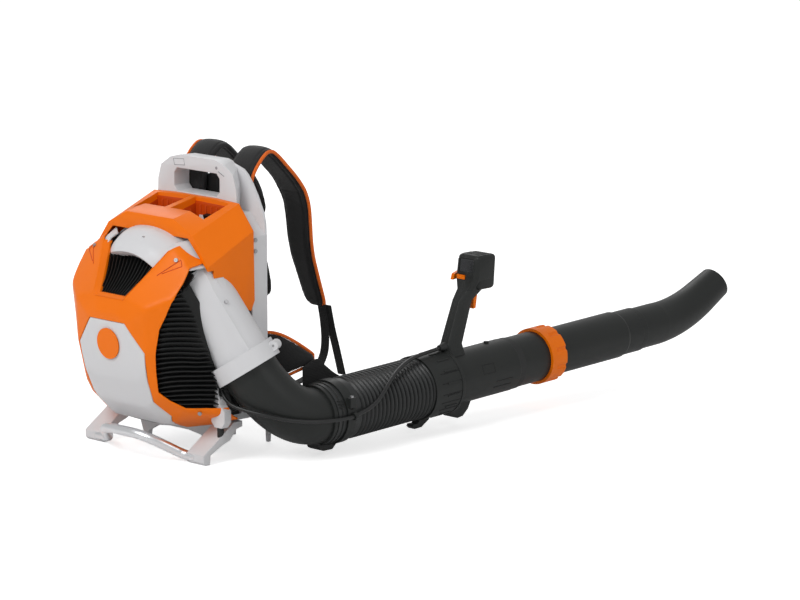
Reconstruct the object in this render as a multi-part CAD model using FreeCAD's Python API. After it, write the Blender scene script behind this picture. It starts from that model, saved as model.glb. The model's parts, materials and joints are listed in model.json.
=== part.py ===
import FreeCAD, Part
import math
import os

# Backpack leaf blower, sizes in millimetres.
# Origin: on the ground, on the machine's centre plane, in the middle of the front cross foot.
# +X is the wearer's right, +Y the wearer's forward, +Z up. The fan shaft lies along Y.

Vector = FreeCAD.Vector
Rotation = FreeCAD.Rotation
Placement = FreeCAD.Placement

# Walls and clearances
WALL = 3.0
GAP = 0.3
TOUCH = 0.2

# Fan casing and fan
FAN_Z = 236.0
CASING_FRONT_Y = -155.0
FLANGE_Y = -190.0
CASING_REAR_Y = -225.0
FLANGE_TONGUE_R = 142.0
FLANGE_TOP_R = 182.0
REAR_TONGUE_R = 138.0
REAR_TOP_R = 172.0
FLANGE_SHOULDER_R = 178.0
REAR_SHOULDER_R = 146.0
TONGUE_ANGLE = -20.0
INLET_R = 84.0
IMPELLER_R = 126.0
IMPELLER_EYE_R = 76.0
BLADE_COUNT = 14
SHAFT_R = 6.0
MOTOR_R = 38.0
MOTOR_LENGTH = 44.0

# Outlet duct, its collar and the elbow
DUCT_END = Vector(183, -124, 164)
DUCT_AXIS = Vector(0.466, 0.26, -0.8455).normalize()
DUCT_R = 52.0
DUCT_LENGTH = 140.0
DUCT_ROOT_R = 26.0
DUCT_ROOT_LENGTH = 62.0
COLLAR_R = 62.0
COLLAR_LENGTH = 32.0
ELBOW_R = 51.0
ELBOW_LEAD_IN = 70.0
ELBOW_LEAD_OUT = 50.0
ELBOW_STEPS = (0, 0.2, 0.38, 0.54, 0.68, 0.81, 0.92, 1)

# Blow tube line
TUBE_X = 235.0
TUBE_Z_AT_ORIGIN = 74.0
TUBE_RISE = 2.3
SPIGOT_Y = -9.0
HOSE_Y0 = -8.0
CLAMP_Y0 = 12.0
CLAMP_WIDTH = 20.0
RIBS_Y0 = 52.0
RIBS_Y1 = 234.0
RIB_COUNT = 18
RIB_CREST_R = 57.0
RIB_ROOT_R = 51.0
HOSE_BORE_R = 45.5
HOSE_END_R = 56.0
HOSE_Y1 = 302.0
CUFF_Y0 = 238.0
CUFF_Y1 = 312.0
CUFF_R = 59.5
HANDLE_TUBE_R = 49.5
HANDLE_TUBE_Y1 = 473.0
BAND_Y1 = 488.0
BAND_R = 47.6
NECK_Y1 = 562.0
RING_Y0 = 557.0
RING_Y1 = 597.0
RING_R = 53.5
BLOW_TUBE_R = 44.8
BLOW_TUBE_Y0 = 420.0
BLOW_TUBE_Y1 = 783.0
BLOW_NECK_R = 42.5
BLOW_NECK_Y1 = 830.0
NOZZLE_R = 40.5
NOZZLE_MOUTH_R = 32.0
NOZZLE_BEND_Y = 905.0
NOZZLE_BEND = 24.0
NOZZLE_BEND_R = 330.0
NOZZLE_TAIL = 42.0
NOZZLE_LIP = 53.0

# Control handle
HANDLE_BASE_Y = 334.0
HANDLE_HEAD_Y = 399.0
HANDLE_HEAD_Z = 280.0
GRIP_WIDTH = 30.0
GRIP_DEPTH = 34.0
HEAD_WIDTH = 56.0
HEAD_DEPTH = 48.0
HEAD_HEIGHT = 66.0

# Battery housing
BAY_X0 = 7.0
BAY_X1 = 94.0
BAY_Y0 = -150.0
BAY_Y1 = -88.0
BAY_FLOOR_Z = 318.0
HOUSING_FRONT_Y = -80.5

# Back plate, base and stand
PLATE_HALF_WIDTH = 143.0
PLATE_FRONT_Y = -42.0
PLATE_REAR_Y = -79.0
HANDLE_TOP_Z = 520.0
DECK_Z0 = 57.0
DECK_Z1 = 68.0
DECK_HALF_WIDTH = 112.0
LEG_X0 = 114.0
LEG_X1 = 158.0
ARCH_Y = -124.0
BAR_R = 9.0
BAR_Z = 10.5
BAR_RISE_Z = 48.0

# Harness
STRAP_THICK = 14.0
BINDING = 5.0
WEBBING_WIDTH = 20.0
WEBBING_THICK = 2.0
BELT_THICK = 14.0
BELT_HEIGHTS = (88.0, 90.0, 76.0, 54.0, 34.0, 18.0)
CABLE_R = 3.5

# Rear casing outline: distance along Y, then the right half from bottom to top as (x, z)
DOME_TILT = (0.0, 0.0, 0.0, 0.05, 0.09)
DOME_TILT_Z = 211.0
DOME_SECTIONS = (
    (-178.0, ((70, 52), (162, 88), (174, 200), (168, 322), (104, 404))),
    (-222.0, ((66, 61), (130, 96), (160, 190), (154, 348), (90, 386))),
    (-262.0, ((66, 98), (98, 128), (120, 195), (134, 304), (62, 334))),
    (-287.0, ((56, 148), (76, 160), (90, 205), (91, 284), (34, 300))),
    (-294.0, ((36, 176), (48, 186), (56, 220), (50, 254), (28, 266))),
)
GRILLE_INSET = 6.0
PANEL_OUTLINE = ((67, 50), (92, 82), (81, 111), (83, 142), (87, 203), (46, 253))
DUCT_SCREW = (-124.8, -50.6)
FRAME_OUTLINE = ((67, 50), (170, 76), (170, 100), (126, 101), (96, 131), (99, 171),
                 (111, 247), (134, 302), (143, 368), (86, 392))
WINDOW_OUTLINE = ((33, 302), (88, 400))

# Control cable: points on its centre line, from its gland to the strain relief on the handle
CABLE_LOWER = ((153.5, -165, 127), (167, -169, 114.5), (187, -169, 106), (213, -160, 100), (240, -146, 95),
               (263, -123, 87), (280, -94, 81), (290, -64, 77), (296, -32, 75), (298, -4, 74), (298, 20, 74.5))
CABLE_UPPER = ((298, 28, 76), (298, 44, 79.5), (298, 62, 84), (296, 82, 92), (291, 103, 105), (282, 127, 119),
               (272, 154, 132), (262, 186, 142), (253, 220, 147), (249.5, 248, 149), (248, 272, 150.5),
               (246, 292, 152))

# Shoulder strap: middle of its thickness as (y, z), with the strap's centre and width along X
STRAP_STATIONS = ((-33.2, 436, 58, 64), (-33, 464, 58, 65), (-30.8, 488, 58, 67), (-16, 509, 58, 67),
                  (2, 527, 58, 67), (16, 532, 58, 67), (30, 526, 58, 67), (54, 503, 58, 67),
                  (90, 468, 58, 67), (111, 435, 58, 67), (116, 393, 59, 65), (118, 338, 62, 60),
                  (132, 294, 64, 55), (145, 256, 65.5, 51), (151, 237, 69, 44))


def box(x0, x1, y0, y1, z0, z1):
    """Block between two corners."""
    return Part.makeBox(x1 - x0, y1 - y0, z1 - z0, Vector(x0, y0, z0))


def rod(radius, start, end):
    """Solid cylinder from start to end."""
    span = end - start
    return Part.makeCylinder(radius, span.Length, start, span)


def ring(outer, inner, start, end):
    """Hollow cylinder from start to end."""
    span = (end - start).normalize()
    return rod(outer, start, end).cut(rod(inner, start - span, end + span))


def cone(radius0, radius1, start, end):
    """Solid truncated cone from start to end."""
    span = end - start
    return Part.makeCone(radius0, radius1, span.Length, start, span)


def fuse(shapes):
    """One solid from several that meet."""
    return shapes[0].multiFuse(shapes[1:]).removeSplitter()


def face_of(points):
    """Flat face inside a closed run of points."""
    return Part.Face(Part.makePolygon(list(points) + [points[0]]))


def prism_x(outline, x0, x1):
    """Outline in (y, z), run along X."""
    return face_of([Vector(x0, y, z) for y, z in outline]).extrude(Vector(x1 - x0, 0, 0))


def prism_y(outline, y0, y1):
    """Outline in (x, z), run along Y."""
    return face_of([Vector(x, y0, z) for x, z in outline]).extrude(Vector(0, y1 - y0, 0))


def prism_z(outline, z0, z1):
    """Outline in (x, y), run along Z."""
    return face_of([Vector(x, y, z0) for x, y in outline]).extrude(Vector(0, 0, z1 - z0))


def mirrored(half):
    """Closed outline from its right half, which runs from bottom to top."""
    return list(half) + [(-x, z) for x, z in reversed(half)]


def mirror_x(shape):
    """The same piece on the other side of the centre plane."""
    return shape.mirror(Vector(0, 0, 0), Vector(1, 0, 0))


def inset(outline, distance):
    """Anticlockwise outline with every side moved inwards."""
    count = len(outline)
    lines = []
    for i in range(count):
        (x0, z0), (x1, z1) = outline[i], outline[(i + 1) % count]
        length = math.hypot(x1 - x0, z1 - z0)
        ux, uz = (x1 - x0) / length, (z1 - z0) / length
        lines.append((x0 - uz * distance, z0 + ux * distance, ux, uz))
    moved = []
    for i in range(count):
        ax, az, aux, auz = lines[i - 1]
        bx, bz, bux, buz = lines[i]
        cross = aux * buz - auz * bux
        along = ((bx - ax) * buz - (bz - az) * bux) / cross
        moved.append((ax + aux * along, az + auz * along))
    return moved


def loft(wires, ruled=True):
    """Closed solid through wires."""
    solid = Part.makeLoft(wires, True, ruled)
    if solid.Volume < 0:
        solid.reverse()
    return solid


def circle_wire(radius, centre, axis):
    """Closed circle about an axis."""
    return Part.Wire([Part.Circle(centre, axis, radius).toShape()])


def tube_axis():
    """Direction of the blow tube."""
    rise = math.radians(TUBE_RISE)
    return Vector(0, math.cos(rise), math.sin(rise))


def on_tube(y):
    """Point of the blow tube's axis at a distance along Y."""
    return Vector(TUBE_X, y, TUBE_Z_AT_ORIGIN + y * math.tan(math.radians(TUBE_RISE)))


def tube_ring(outer, inner, y0, y1):
    """Hollow cylinder on the blow tube's axis."""
    return ring(outer, inner, on_tube(y0), on_tube(y1))


def on_duct(distance):
    """Point of the duct's axis, counted from its outlet."""
    return DUCT_END + DUCT_AXIS * distance


def duct_side():
    """Direction from the duct's axis to its inner, lower side."""
    level = DUCT_AXIS.cross(Vector(0, 0, 1)).normalize()
    return DUCT_AXIS.cross(level)


def screw(head, axis, head_r=4.5, shank_r=2.2, length=10.0):
    """Screw whose head's seat is at head; axis points out of the surface."""
    direction = Vector(axis).normalize()
    shank = rod(shank_r, head - direction * length, head + direction)
    return fuse([rod(head_r, head, head + direction * 3), shank])


def rounded_path(points):
    """Straight runs joined by tangent arcs, each as large as its two runs allow."""
    points = [Vector(*p) for p in points]
    edges = []
    radii = []
    start = points[0]
    for before, corner, after in zip(points, points[1:], points[2:]):
        back = before - corner
        ahead = after - corner
        shorter = min(back.Length, ahead.Length)
        back.normalize()
        ahead.normalize()
        turn = math.pi - back.getAngle(ahead)
        tangent = 0.45 * shorter
        radius = tangent / math.tan(turn / 2)
        arc_start = corner + back * tangent
        arc_end = corner + ahead * tangent
        inward = (back + ahead).normalize()
        middle = corner + inward * (radius / math.cos(turn / 2) - radius)
        edges.append(Part.LineSegment(start, arc_start).toShape())
        edges.append(Part.Arc(arc_start, middle, arc_end).toShape())
        radii.append(radius)
        start = arc_end
    edges.append(Part.LineSegment(start, points[-1]).toShape())
    return Part.Wire(edges), radii


def cord(name, points, radius):
    """Round cord along a route, with its measures printed."""
    path, radii = rounded_path(points)
    start = path.Edges[0].Vertexes[0].Point
    profile = circle_wire(radius, start, path.Edges[0].tangentAt(0))
    solid = path.makePipeShell([profile], True, False)
    expected = math.pi * radius ** 2 * path.Length
    print(name, "length %.0f" % path.Length, "radii", [round(r) for r in radii],
          "volume over section times length %.4f" % (solid.Volume / expected))
    return solid


def pad_section(centre, across, outward, width, thick):
    """Closed section of a pad: flat inside, drawn-in sides and a crowned outside."""
    across = Vector(across).normalize()
    outward = Vector(outward).normalize()
    half = width / 2
    drawn = min(0.08 * half, 0.28 * thick)

    def at(side, height):
        return centre + across * side + outward * (height * thick)

    top = half - drawn * 0.8
    corners = [at(drawn - half, 0), at(half - drawn, 0), at(top, 0.62), at(-top, 0.62)]
    base = Part.LineSegment(corners[0], corners[1]).toShape()
    right = Part.Arc(corners[1], at(half, 0.3), corners[2]).toShape()
    crown = Part.Arc(corners[2], at(0, 1), corners[3]).toShape()
    left = Part.Arc(corners[3], at(-half, 0.3), corners[0]).toShape()
    return Part.Wire([base, right, crown, left])


def flat_section(centre, across, outward, width, thick):
    """Closed rectangular section of a strap."""
    across = Vector(across).normalize() * (width / 2)
    outward = Vector(outward).normalize() * thick
    corners = [centre - across, centre + across, centre + across + outward, centre - across + outward]
    return Part.makePolygon(corners + [corners[0]])


def normals_along(points, across):
    """Outward direction at each point of a route, square to it and to across."""
    normals = []
    for i in range(len(points)):
        ahead = points[min(i + 1, len(points) - 1)] - points[max(i - 1, 0)]
        normals.append(Vector(across).cross(ahead).normalize())
    return normals


def spiral_point(tongue_r, top_r, grow, turned):
    """Point of the fan casing's outline, turned degrees past its tongue."""
    radius = tongue_r + (top_r - tongue_r) * turned / 250.0 + grow
    angle = math.radians(TONGUE_ANGLE - turned)
    return Vector(radius * math.cos(angle), 0, FAN_Z + radius * math.sin(angle))


def spiral_prism(tongue_r, top_r, shoulder_r, grow, y0, y1):
    """Snail-shaped block between two planes."""
    stations = [spiral_point(tongue_r, top_r, grow, turned) for turned in (0, 35, 70, 115, 160, 205, 250)]
    reach = shoulder_r + grow
    for angle in (52, 20):
        turn = math.radians(angle)
        stations.append(Vector(reach * math.cos(turn), 0, FAN_Z + reach * math.sin(turn)))
    low = Vector(reach * 0.9, 0, FAN_Z - 30)
    edges = [Part.Arc(*stations[i:i + 3]).toShape() for i in (0, 2, 4, 6)]
    edges.append(Part.LineSegment(stations[8], low).toShape())
    edges.append(Part.LineSegment(low, stations[0]).toShape())
    face = Part.Face(Part.Wire(edges))
    face.translate(Vector(0, y0, 0))
    return face.extrude(Vector(0, y1 - y0, 0))


def casing_envelope(grow):
    """Outer form of fan casing and duct, grown or shrunk."""
    flange = spiral_prism(FLANGE_TONGUE_R, FLANGE_TOP_R, FLANGE_SHOULDER_R, grow, FLANGE_Y - grow,
                          CASING_FRONT_Y + grow)
    rear = spiral_prism(REAR_TONGUE_R, REAR_TOP_R, REAR_SHOULDER_R, grow, CASING_REAR_Y - grow, FLANGE_Y + 6)
    mouth = on_duct(-14 + (0 if grow == 0 else 2))
    shoulder = on_duct(-DUCT_LENGTH)
    root = on_duct(-DUCT_LENGTH - DUCT_ROOT_LENGTH)
    pipe = rod(DUCT_R + grow, shoulder, mouth)
    taper = cone(DUCT_ROOT_R + grow, DUCT_R + grow, root, shoulder)
    return fuse([flange, rear, taper, pipe])


def rear_region():
    """Everything behind the casing's parting surface, which follows the duct's axis."""
    duct_y = DUCT_END.y + (FLANGE_Y - DUCT_END.y)
    duct_z = DUCT_END.z + DUCT_AXIS.z / DUCT_AXIS.y * (duct_y - DUCT_END.y)
    low_y = DUCT_END.y + DUCT_AXIS.y * 40
    low_z = DUCT_END.z + DUCT_AXIS.z * 40
    main = box(-260, 92, -400, FLANGE_Y + 10, 0, 600)
    outline = [(-400, 600), (FLANGE_Y, 600), (duct_y, duct_z), (low_y, low_z), (low_y, 0), (-400, 0)]
    return fuse([main, prism_x(outline, 91.9, 320)])


def casing_halves():
    """Front and rear moulding of the fan casing, each with its half of the duct."""
    shell = casing_envelope(0).cut(casing_envelope(-WALL))
    inlet = rod(INLET_R, Vector(0, CASING_REAR_Y - 5, FAN_Z), Vector(0, CASING_REAR_Y + 8, FAN_Z))
    lip = ring(INLET_R + 4, INLET_R, Vector(0, CASING_REAR_Y + WALL - 0.1, FAN_Z),
               Vector(0, CASING_REAR_Y + 8, FAN_Z))
    shell = shell.cut(inlet)
    region = rear_region()
    fairing = largest(duct_fairing().cut(casing_envelope(-0.5)))
    rear = fuse([shell.common(region), lip, intake_cowl(), fairing])
    front = shell.cut(region)
    return largest(rear), largest(front)


def fairing_outline():
    """Region right of the intake cage, seen along Y, that belongs to the duct."""
    return [(134, 303), (154, 233), (164, 172), (167, 140), (185, 140), (185, 330), (150, 392), (138, 400),
            (130, 372)]


def duct_fairing():
    """White wall between the rear cover's right arm and the duct."""
    skin = dome_skin(GRILLE_INSET, WALL)
    return largest(skin.common(prism_y(fairing_outline(), -300, FLANGE_Y + 4)))


def largest(shape):
    """The biggest solid of a shape."""
    return max(shape.Solids, key=lambda solid: solid.Volume)


def dome(depth):
    """Rear casing's outer form, drawn in by depth."""
    wires = []
    last = len(DOME_SECTIONS) - 1
    for i, (y, half) in enumerate(DOME_SECTIONS):
        moved = y + depth * (0.0, 0.4, 0.6, 0.8, 1.0)[i]
        outline = inset(mirrored(half), depth * (0.9 if i < last else 0.4)) if depth else mirrored(half)
        wires.append(Part.makePolygon([Vector(x, moved - (z - DOME_TILT_Z) * DOME_TILT[i], z)
                                       for x, z in outline + outline[:1]]))
    return loft(wires)


def dome_skin(depth, thick):
    """Thin shell at a depth under the rear casing's outer form."""
    return dome(depth).cut(dome(depth + thick))


def cowl_region(gap):
    """Upper zone outside the intake's round opening."""
    zone = box(-92 - gap, 92 + gap, -300, -176, 330 - gap, 440)
    return zone.cut(rod(132 - gap, Vector(0, -310, FAN_Z), Vector(0, -160, FAN_Z)))


def intake_cowl():
    """White dish between the casing's top and the intake's round opening."""
    skin = dome_skin(GRILLE_INSET, WALL)
    return largest(skin.common(cowl_region(0.0)).cut(box(-300, 300, FLANGE_Y, -100, 0, 600)))


def intake_cage():
    """Cage of thin ribs round the intake, under the rear cover."""
    skin = dome_skin(GRILLE_INSET, WALL)
    skin = skin.cut(cowl_region(TOUCH))
    skin = skin.cut(prism_y(fairing_outline(), -300, -150).cut(box(0, 154, -300, -150, 0, 100)))
    skin = largest(skin.cut(casing_envelope(TOUCH)).cut(duct_clearance()))
    slots = []
    for i in range(26):
        z = 100 + i * 8.6
        inner = 40 if z < 290 else 84
        for sign in (1, -1):
            x0, x1 = sorted((sign * inner, sign * 200))
            slots.append(box(x0, x1, -276, -228, z, z + 4.6))
    for i in range(9):
        x = -39.5 + i * 9.2
        slots.append(box(x, x + 5.2, -300, -222, 306, 362))
    return largest(skin.cut(Part.makeCompound(slots)))


def rear_cover_frame():
    """Orange cover frame with two upper arms and two lower rails."""
    skin = dome_skin(0.0, WALL)
    frame = skin.common(prism_y(mirrored(FRAME_OUTLINE), -320, -150))
    window = prism_y(mirrored(WINDOW_OUTLINE), -320, -150)
    panel = prism_y(mirrored(((67, 30),) + PANEL_OUTLINE[1:]), -320, -150)
    frame = frame.cut(window).cut(panel)
    return largest(frame.cut(casing_envelope(GAP)).cut(duct_clearance()))


def duct_clearance():
    """Room round the duct's collar and its lugs that other pieces keep clear of."""
    side = duct_side()
    normal = DUCT_AXIS.cross(side)
    room = [rod(COLLAR_R + 1, on_duct(-COLLAR_LENGTH - 1), on_duct(2))]
    for sign in (1, -1):
        lug = on_duct(-16) + side * (sign * (COLLAR_R + 3))
        room.append(rod(10, lug - normal * 13, lug + normal * 16))
    return fuse(room)


def rear_cover_panel():
    """Light grey lower panel of the rear cover."""
    skin = dome_skin(0.0, WALL)
    inner = inset(mirrored(PANEL_OUTLINE), 0.4)
    return largest(skin.common(prism_y(inner, -320, -150)))


def badge_frame():
    """Centre and outward direction of the badge on the panel."""
    tilt = math.atan(DOME_TILT[-1])
    centre = Vector(0, DOME_SECTIONS[-1][0], DOME_TILT_Z)
    return centre, Vector(0, -math.cos(tilt), -math.sin(tilt))


def badge_disc():
    """Bare round badge."""
    centre, out = badge_frame()
    return rod(28, centre + out * TOUCH, centre + out * 2.6)


def body_screws():
    """Screw heads on the fan casing, the duct, the back plate and the rear cover."""
    heads = [rod(3.6, Vector(20.6, CASING_REAR_Y - TOUCH, 394), Vector(20.6, CASING_REAR_Y - 3.2, 394))]
    for angle in (150, 210, 265, 300):
        turn = math.radians(angle)
        x, z = 126 * math.cos(turn), FAN_Z + 126 * math.sin(turn)
        heads.append(rod(3.6, Vector(x, CASING_FRONT_Y + TOUCH, z), Vector(x, CASING_FRONT_Y + 3.2, z)))
    middle = on_duct(DUCT_SCREW[0])
    out = DUCT_AXIS.cross(Vector(0, 0, 1)).normalize()
    out = Rotation(DUCT_AXIS, DUCT_SCREW[1]).multVec(out)
    heads.append(rod(3.6, middle + out * (DUCT_R + TOUCH), middle + out * (DUCT_R + 3)))
    for sign in (1, -1):
        for z in (386, 366):
            x = sign * (PLATE_HALF_WIDTH + TOUCH)
            heads.append(rod(3.6, Vector(x, -72, z), Vector(x + sign * 3, -72, z)))
        for x, y, z, lift in ((112, -236, 368, 30), (140, -205, 92, -20)):
            seat = Vector(sign * x, y, z)
            out = Vector(seat.x * 0.4, -80, lift).normalize()
            hits = dome(0.0).common(Part.makeLine(seat - out * 60, seat + out * 60)).Vertexes
            surface = max((v.Point for v in hits), key=lambda p: p.dot(out))
            heads.append(rod(3.6, surface + out * TOUCH, surface + out * 3).cut(dome(-TOUCH)))
    return Part.makeCompound(heads)


def impeller():
    """Radial fan wheel with a hub, back disc, blades and eye ring."""
    front = CASING_FRONT_Y - WALL - 6
    rear = CASING_REAR_Y + WALL + 8
    disc = rod(IMPELLER_R, Vector(0, front - 3, FAN_Z), Vector(0, front, FAN_Z))
    hub = rod(19, Vector(0, front - 34, FAN_Z), Vector(0, front, FAN_Z))
    eye = ring(IMPELLER_R, IMPELLER_EYE_R, Vector(0, rear, FAN_Z), Vector(0, rear + 3, FAN_Z))
    blade = box(IMPELLER_EYE_R - 8, IMPELLER_R - 6, rear + 1, front - 1, FAN_Z - 1.2, FAN_Z + 1.2)
    blade.rotate(Vector(IMPELLER_EYE_R - 8, 0, FAN_Z), Vector(0, 1, 0), 24)
    blades = []
    for i in range(BLADE_COUNT):
        copy = blade.copy()
        copy.rotate(Vector(0, 0, FAN_Z), Vector(0, 1, 0), i * 360.0 / BLADE_COUNT)
        blades.append(copy)
    limit = rod(IMPELLER_R, Vector(0, rear, FAN_Z), Vector(0, front, FAN_Z))
    wheel = fuse([disc, hub, eye] + blades).common(limit)
    return wheel.cut(rod(SHAFT_R, Vector(0, rear - 5, FAN_Z), Vector(0, front + 5, FAN_Z)))


def motor_rear_y():
    """Rear end of the motor housing."""
    return CASING_REAR_Y - 13 - MOTOR_LENGTH


def rotor_shaft():
    """Shaft from the motor's rear bearing to the fan wheel."""
    return rod(SHAFT_R, Vector(0, motor_rear_y() + 6, FAN_Z), Vector(0, CASING_FRONT_Y - WALL - 3, FAN_Z))


def rotor_core():
    """Magnet rotor on the shaft."""
    y0 = motor_rear_y() + 14
    return ring(17, SHAFT_R, Vector(0, y0, FAN_Z), Vector(0, y0 + 18, FAN_Z))


def motor_stator():
    """Wound stator ring inside the motor housing."""
    y0 = motor_rear_y() + 13
    return ring(MOTOR_R - 3 - TOUCH, 18.5, Vector(0, y0, FAN_Z), Vector(0, y0 + 20, FAN_Z))


def motor_housing():
    """Round motor can with a bearing seat at each end."""
    y0 = motor_rear_y()
    y1 = y0 + MOTOR_LENGTH
    can = rod(MOTOR_R, Vector(0, y0, FAN_Z), Vector(0, y1, FAN_Z))
    can = can.cut(rod(MOTOR_R - 3, Vector(0, y0 + 3, FAN_Z), Vector(0, y1 - 3, FAN_Z)))
    seats = [ring(15, 11 + TOUCH, Vector(0, y0 + 2.9, FAN_Z), Vector(0, y0 + 11, FAN_Z)),
             ring(15, 11 + TOUCH, Vector(0, y1 - 11, FAN_Z), Vector(0, y1 - 2.9, FAN_Z))]
    can = fuse([can] + seats)
    return can.cut(rod(SHAFT_R + 1, Vector(0, y0 + 8, FAN_Z), Vector(0, y1 + 5, FAN_Z)))


def motor_bearings():
    """Two ball bearings on the shaft, as rings."""
    y0 = motor_rear_y() + 3.2
    y1 = motor_rear_y() + MOTOR_LENGTH - 10.5
    return Part.makeCompound([
        ring(11, SHAFT_R + 0.05, Vector(0, y, FAN_Z), Vector(0, y + 7, FAN_Z)) for y in (y0, y1)])


def shaft_nut():
    """Nut that clamps the fan wheel on the shaft."""
    front = CASING_FRONT_Y - WALL - 6
    end = front - 34
    nut = Part.makeCylinder(10, 7, Vector(0, end - 7 - TOUCH, FAN_Z), Vector(0, 1, 0))
    return nut.cut(rod(SHAFT_R, Vector(0, end - 9, FAN_Z), Vector(0, end + 2, FAN_Z)))


def motor_mount():
    """Spider that carries the motor in the middle of the inlet."""
    y0 = CASING_REAR_Y - 12.8
    y1 = CASING_REAR_Y - TOUCH
    rim = ring(INLET_R + 10, INLET_R - 2, Vector(0, y1 - 5, FAN_Z), Vector(0, y1, FAN_Z))
    hub = ring(MOTOR_R, SHAFT_R + 3, Vector(0, y0, FAN_Z), Vector(0, y1 - 4, FAN_Z))
    arms = []
    for i in range(4):
        arm = box(20, INLET_R + 4, y0 + 3, y1, FAN_Z - 5, FAN_Z + 5)
        arm.rotate(Vector(0, 0, FAN_Z), Vector(0, 1, 0), 45 + 90 * i)
        arms.append(arm)
    spider = fuse([rim, hub] + arms)
    return spider.cut(rod(SHAFT_R + 3, Vector(0, y0 - 1, FAN_Z), Vector(0, y1 + 1, FAN_Z)))


def duct_collar():
    """Two half rings that hold the elbow's flange on the duct."""
    blank = rod(COLLAR_R, on_duct(-COLLAR_LENGTH), on_duct(0))
    side = duct_side()
    normal = DUCT_AXIS.cross(side)
    lugs = []
    for sign in (1, -1):
        centre = on_duct(-16) + side * (sign * (COLLAR_R + 3))
        lug = rod(9, centre - normal * 11, centre + normal * 11)
        lugs.append(lug)
    blank = fuse([blank] + lugs)
    blank = blank.cut(rod(DUCT_R + TOUCH, on_duct(-COLLAR_LENGTH - 1), on_duct(-13.5)))
    blank = blank.cut(rod(ELBOW_R + 5.1, on_duct(-13.8), on_duct(-4.6)))
    blank = blank.cut(rod(ELBOW_R + 0.6, on_duct(-4.8), on_duct(1)))
    bore = COLLAR_R + 3
    for sign in (1, -1):
        centre = on_duct(-16) + side * (sign * bore)
        blank = blank.cut(rod(2.4, centre - normal * 12, centre + normal * 12))
    corner = on_duct(-COLLAR_LENGTH / 2)
    slab = Part.makeBox(200, 200, 200, Vector(-100, -100, 0.15))
    halves = []
    for direction in (normal, -normal):
        turn = Rotation(Vector(0, 0, 1), direction)
        half_space = slab.copy()
        half_space.Placement = Placement(corner, turn)
        halves.append(largest(blank.common(half_space)))
    return Part.makeCompound(halves)


def collar_screws():
    """Two screws that pull the collar's halves together."""
    side = duct_side()
    normal = DUCT_AXIS.cross(side)
    screws = []
    for sign in (1, -1):
        centre = on_duct(-16) + side * (sign * (COLLAR_R + 3))
        head = centre + normal * (11 + TOUCH)
        screws.append(screw(head, normal, 4.0, 2.1, 22.0))
    return Part.makeCompound(screws)


def duct_seal():
    """Rubber ring between duct and elbow."""
    return ring(DUCT_R + 3, DUCT_R - 2, on_duct(-13.8), on_duct(-12.3))


def elbow_path(start_distance, end_y):
    """Centre line of the elbow: arcs that follow a smooth bend from the duct's axis to the tube's axis."""
    bend_start = on_duct(-5.5)
    bend_end = on_tube(SPIGOT_Y - 5.5)
    bend = Part.BezierCurve()
    bend.setPoles([bend_start, bend_start + DUCT_AXIS * ELBOW_LEAD_IN,
                   bend_end - tube_axis() * ELBOW_LEAD_OUT, bend_end])
    corners = []
    for t0, t1 in zip(ELBOW_STEPS, ELBOW_STEPS[1:]):
        reach = bend.value(t0).distanceToPoint(bend.value(t1)) / 2
        before = bend.value(t0) + bend.tangent(t0)[0] * reach
        after = bend.value(t1) - bend.tangent(t1)[0] * reach
        corners.append((before + after) / 2)
    corners[0] = bend_start + DUCT_AXIS * (corners[0] - bend_start).dot(DUCT_AXIS)
    corners[-1] = bend_end + tube_axis() * (corners[-1] - bend_end).dot(tube_axis())
    return rounded_path([on_duct(start_distance)] + corners + [on_tube(end_y)])[0]


def pipe_along(path, radius):
    """Round solid along a path."""
    first = path.Edges[0]
    start = first.Vertexes[0].Point
    profile = circle_wire(radius, start, first.tangentAt(first.FirstParameter))
    return path.makePipeShell([profile], True, False)


def elbow():
    """Swivelling elbow with its flange, end bead and hose spigot."""
    body = pipe_along(elbow_path(-12, SPIGOT_Y), ELBOW_R)
    flange = rod(ELBOW_R + 4.5, on_duct(-12), on_duct(-6))
    bead = rod(ELBOW_R + 4, on_tube(SPIGOT_Y - 8), on_tube(SPIGOT_Y))
    spigot = rod(ELBOW_R - 2, on_tube(SPIGOT_Y - 2), on_tube(SPIGOT_Y + 40))
    bore = pipe_along(elbow_path(-13, SPIGOT_Y - 3), ELBOW_R - WALL)
    hole = cone(ELBOW_R - WALL, HOSE_BORE_R, on_tube(SPIGOT_Y - 4), on_tube(SPIGOT_Y + 6))
    tail = rod(HOSE_BORE_R, on_tube(SPIGOT_Y + 5.9), on_tube(SPIGOT_Y + 50))
    return largest(fuse([body, flange, bead, spigot]).cut(bore).cut(hole).cut(tail))


def elbow_foot():
    """Rubber foot under the elbow's end."""
    centre = on_tube(6)
    block = prism_x([(-14, 12), (-8, 9), (14, 9), (24, 18), (24, 40), (-30, 40)], centre.x - 19, centre.x + 15)
    tube = rod(HOSE_END_R + 0.4, on_tube(SPIGOT_Y), on_tube(60))
    clamp = rod(HOSE_END_R + 3.4, on_tube(CLAMP_Y0 - 0.4), on_tube(60))
    bead = rod(ELBOW_R + 4 + TOUCH, on_tube(SPIGOT_Y - 8.4), on_tube(SPIGOT_Y + 0.1))
    body = pipe_along(elbow_path(-12, SPIGOT_Y), ELBOW_R + TOUCH)
    return largest(block.cut(tube).cut(clamp).cut(bead).cut(body))


def clamp_lug():
    """Centre of the hose clamp's lug."""
    return on_tube(CLAMP_Y0 + CLAMP_WIDTH / 2) + Vector(HOSE_END_R + 1, 0, 24)


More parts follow.
